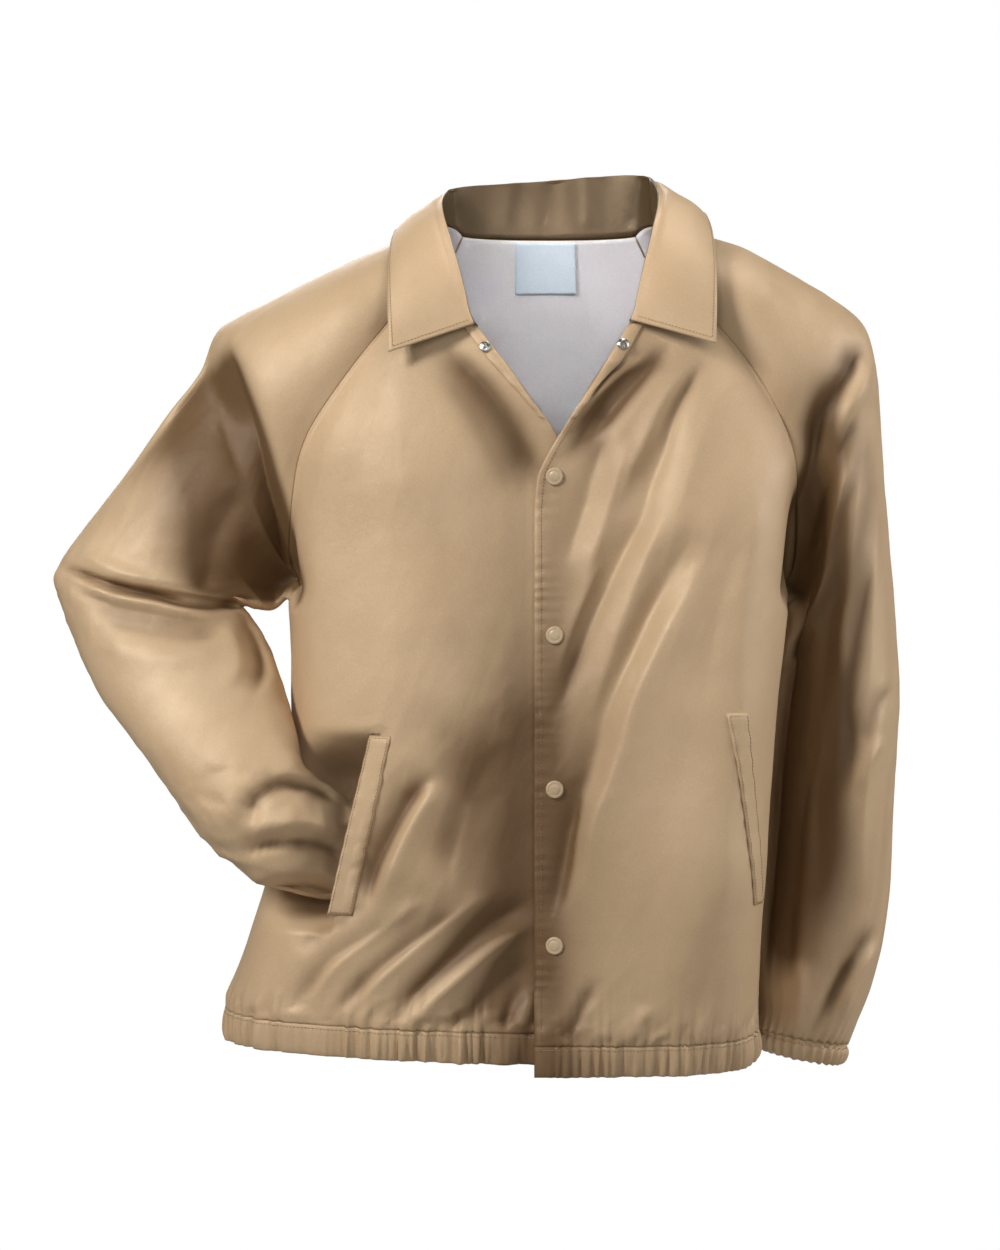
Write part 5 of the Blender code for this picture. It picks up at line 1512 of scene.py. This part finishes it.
# The collar's rows of cells nearest the neckline take the darker copy of the tan nylon, as painted shade
# inside the stand.
cloth_piece("collar", collar_points, COLLAR_CLOTH, [TAN_CLOTH, COLLAR_STAND_PAINTED_SHADE, TAN_CLOTH], second=STAND_CELLS)
welt_grids = [build_welt(1), build_welt(-1)]
build_facing(1)
build_facing(-1)
build_lining()
label_grid = build_label()
build_snaps()
sew(collar_points[LEAF_START:], welt_grids, casing_grids, cuff_grids, label_grid)


def area_light(name, place, aim, size, power, spread=180.0):
    """A square soft light at a place, turned to a point."""
    data = bpy.data.lights.new(name, "AREA")
    data.shape = "SQUARE"
    data.size = size
    data.energy = power
    data.spread = np.radians(spread)
    obj = bpy.data.objects.new(name, data)
    obj.location = place
    obj.rotation_mode = "QUATERNION"
    obj.rotation_quaternion = (Vector(aim) - Vector(place)).to_track_quat("-Z", "Y")
    bpy.context.scene.collection.objects.link(obj)


def white_world(strength):
    """An even pale light from all round, plain white where the camera sees it."""
    world = bpy.data.worlds.new("studio")
    world.use_nodes = True
    bpy.context.scene.world = world
    world.node_tree.nodes.clear()
    nodes = Nodes(world.node_tree)
    glow = nodes.add("Background", {"Strength": strength, "Color": (1.0, 0.98, 0.95, 1.0)}).outputs[0]
    seen = nodes.add("Background", {"Strength": 1.0, "Color": WHITE}).outputs[0]
    camera_ray = nodes.add("LightPath").outputs["Is Camera Ray"]
    mix = nodes.add("MixShader", {0: camera_ray, 1: glow, 2: seen}).outputs[0]
    nodes.add("OutputWorld", {"Surface": mix})


def pale_floor(height):
    """A wide plain floor, white to the camera."""
    material, nodes, shader, _ = new_material("floor")
    nodes.put(shader, {"Base Color": (0.3, 0.3, 0.3, 1.0), "Roughness": 0.9})
    glow = nodes.add("Emission", {"Color": WHITE, "Strength": 1.0}).outputs[0]
    camera_ray = nodes.add("LightPath").outputs["Is Camera Ray"]
    mix = nodes.add("MixShader", {0: camera_ray, 1: shader.outputs[0], 2: glow}).outputs[0]
    nodes.put(material.node_tree.nodes["Material Output"], {"Surface": mix})
    corners = np.array([(-30, -30, height), (30, -30, height), (30, 30, height), (-30, 30, height)], float)
    mesh_piece("floor", corners, np.array([[0, 1, 2, 3]]), [material])


def photo_camera():
    """The camera at the photo's place: level, in front of the middle of the jacket."""
    data = bpy.data.cameras.new("camera")
    data.sensor_width = 36.0
    data.lens = 86.1
    obj = bpy.data.objects.new("camera", data)
    obj.location = (-0.0435, -2.6, -0.3365)
    obj.rotation_euler = (np.pi / 2, 0.0, 0.0)
    bpy.context.scene.collection.objects.link(obj)
    bpy.context.scene.camera = obj


WHITE = (1.0, 1.0, 1.0, 1.0)
bpy.context.scene.view_settings.view_transform = "Standard"
white_world(0.07)
pale_floor(-0.96)
photo_camera()
area_light("key", (-2.0, -1.8, 1.20), (0.0, 0.0, -0.32), 0.9, 68.0)
area_light("front", (-0.3, -3.0, 0.4), (0.0, 0.0, -0.32), 1.0, 11.0)
area_light("above", (0.5, -0.1, 2.1), (0.1, 0.0, -0.20), 1.0, 20.0)
area_light("right_edge", (2.3, 0.0, 0.4), (0.2, 0.0, -0.30), 1.8, 34.0)
area_light("front_right", (1.3, -2.6, 0.2), (0.1, 0.0, -0.35), 1.0, 10.0)
area_light("behind", (-0.6, 2.6, 0.9), (0.0, 0.0, -0.35), 1.5, 26.0)
area_light("neck", (0.0, -1.3, 0.45), (-0.003, 0.085, -0.05), 0.12, 0.040, 9.0)
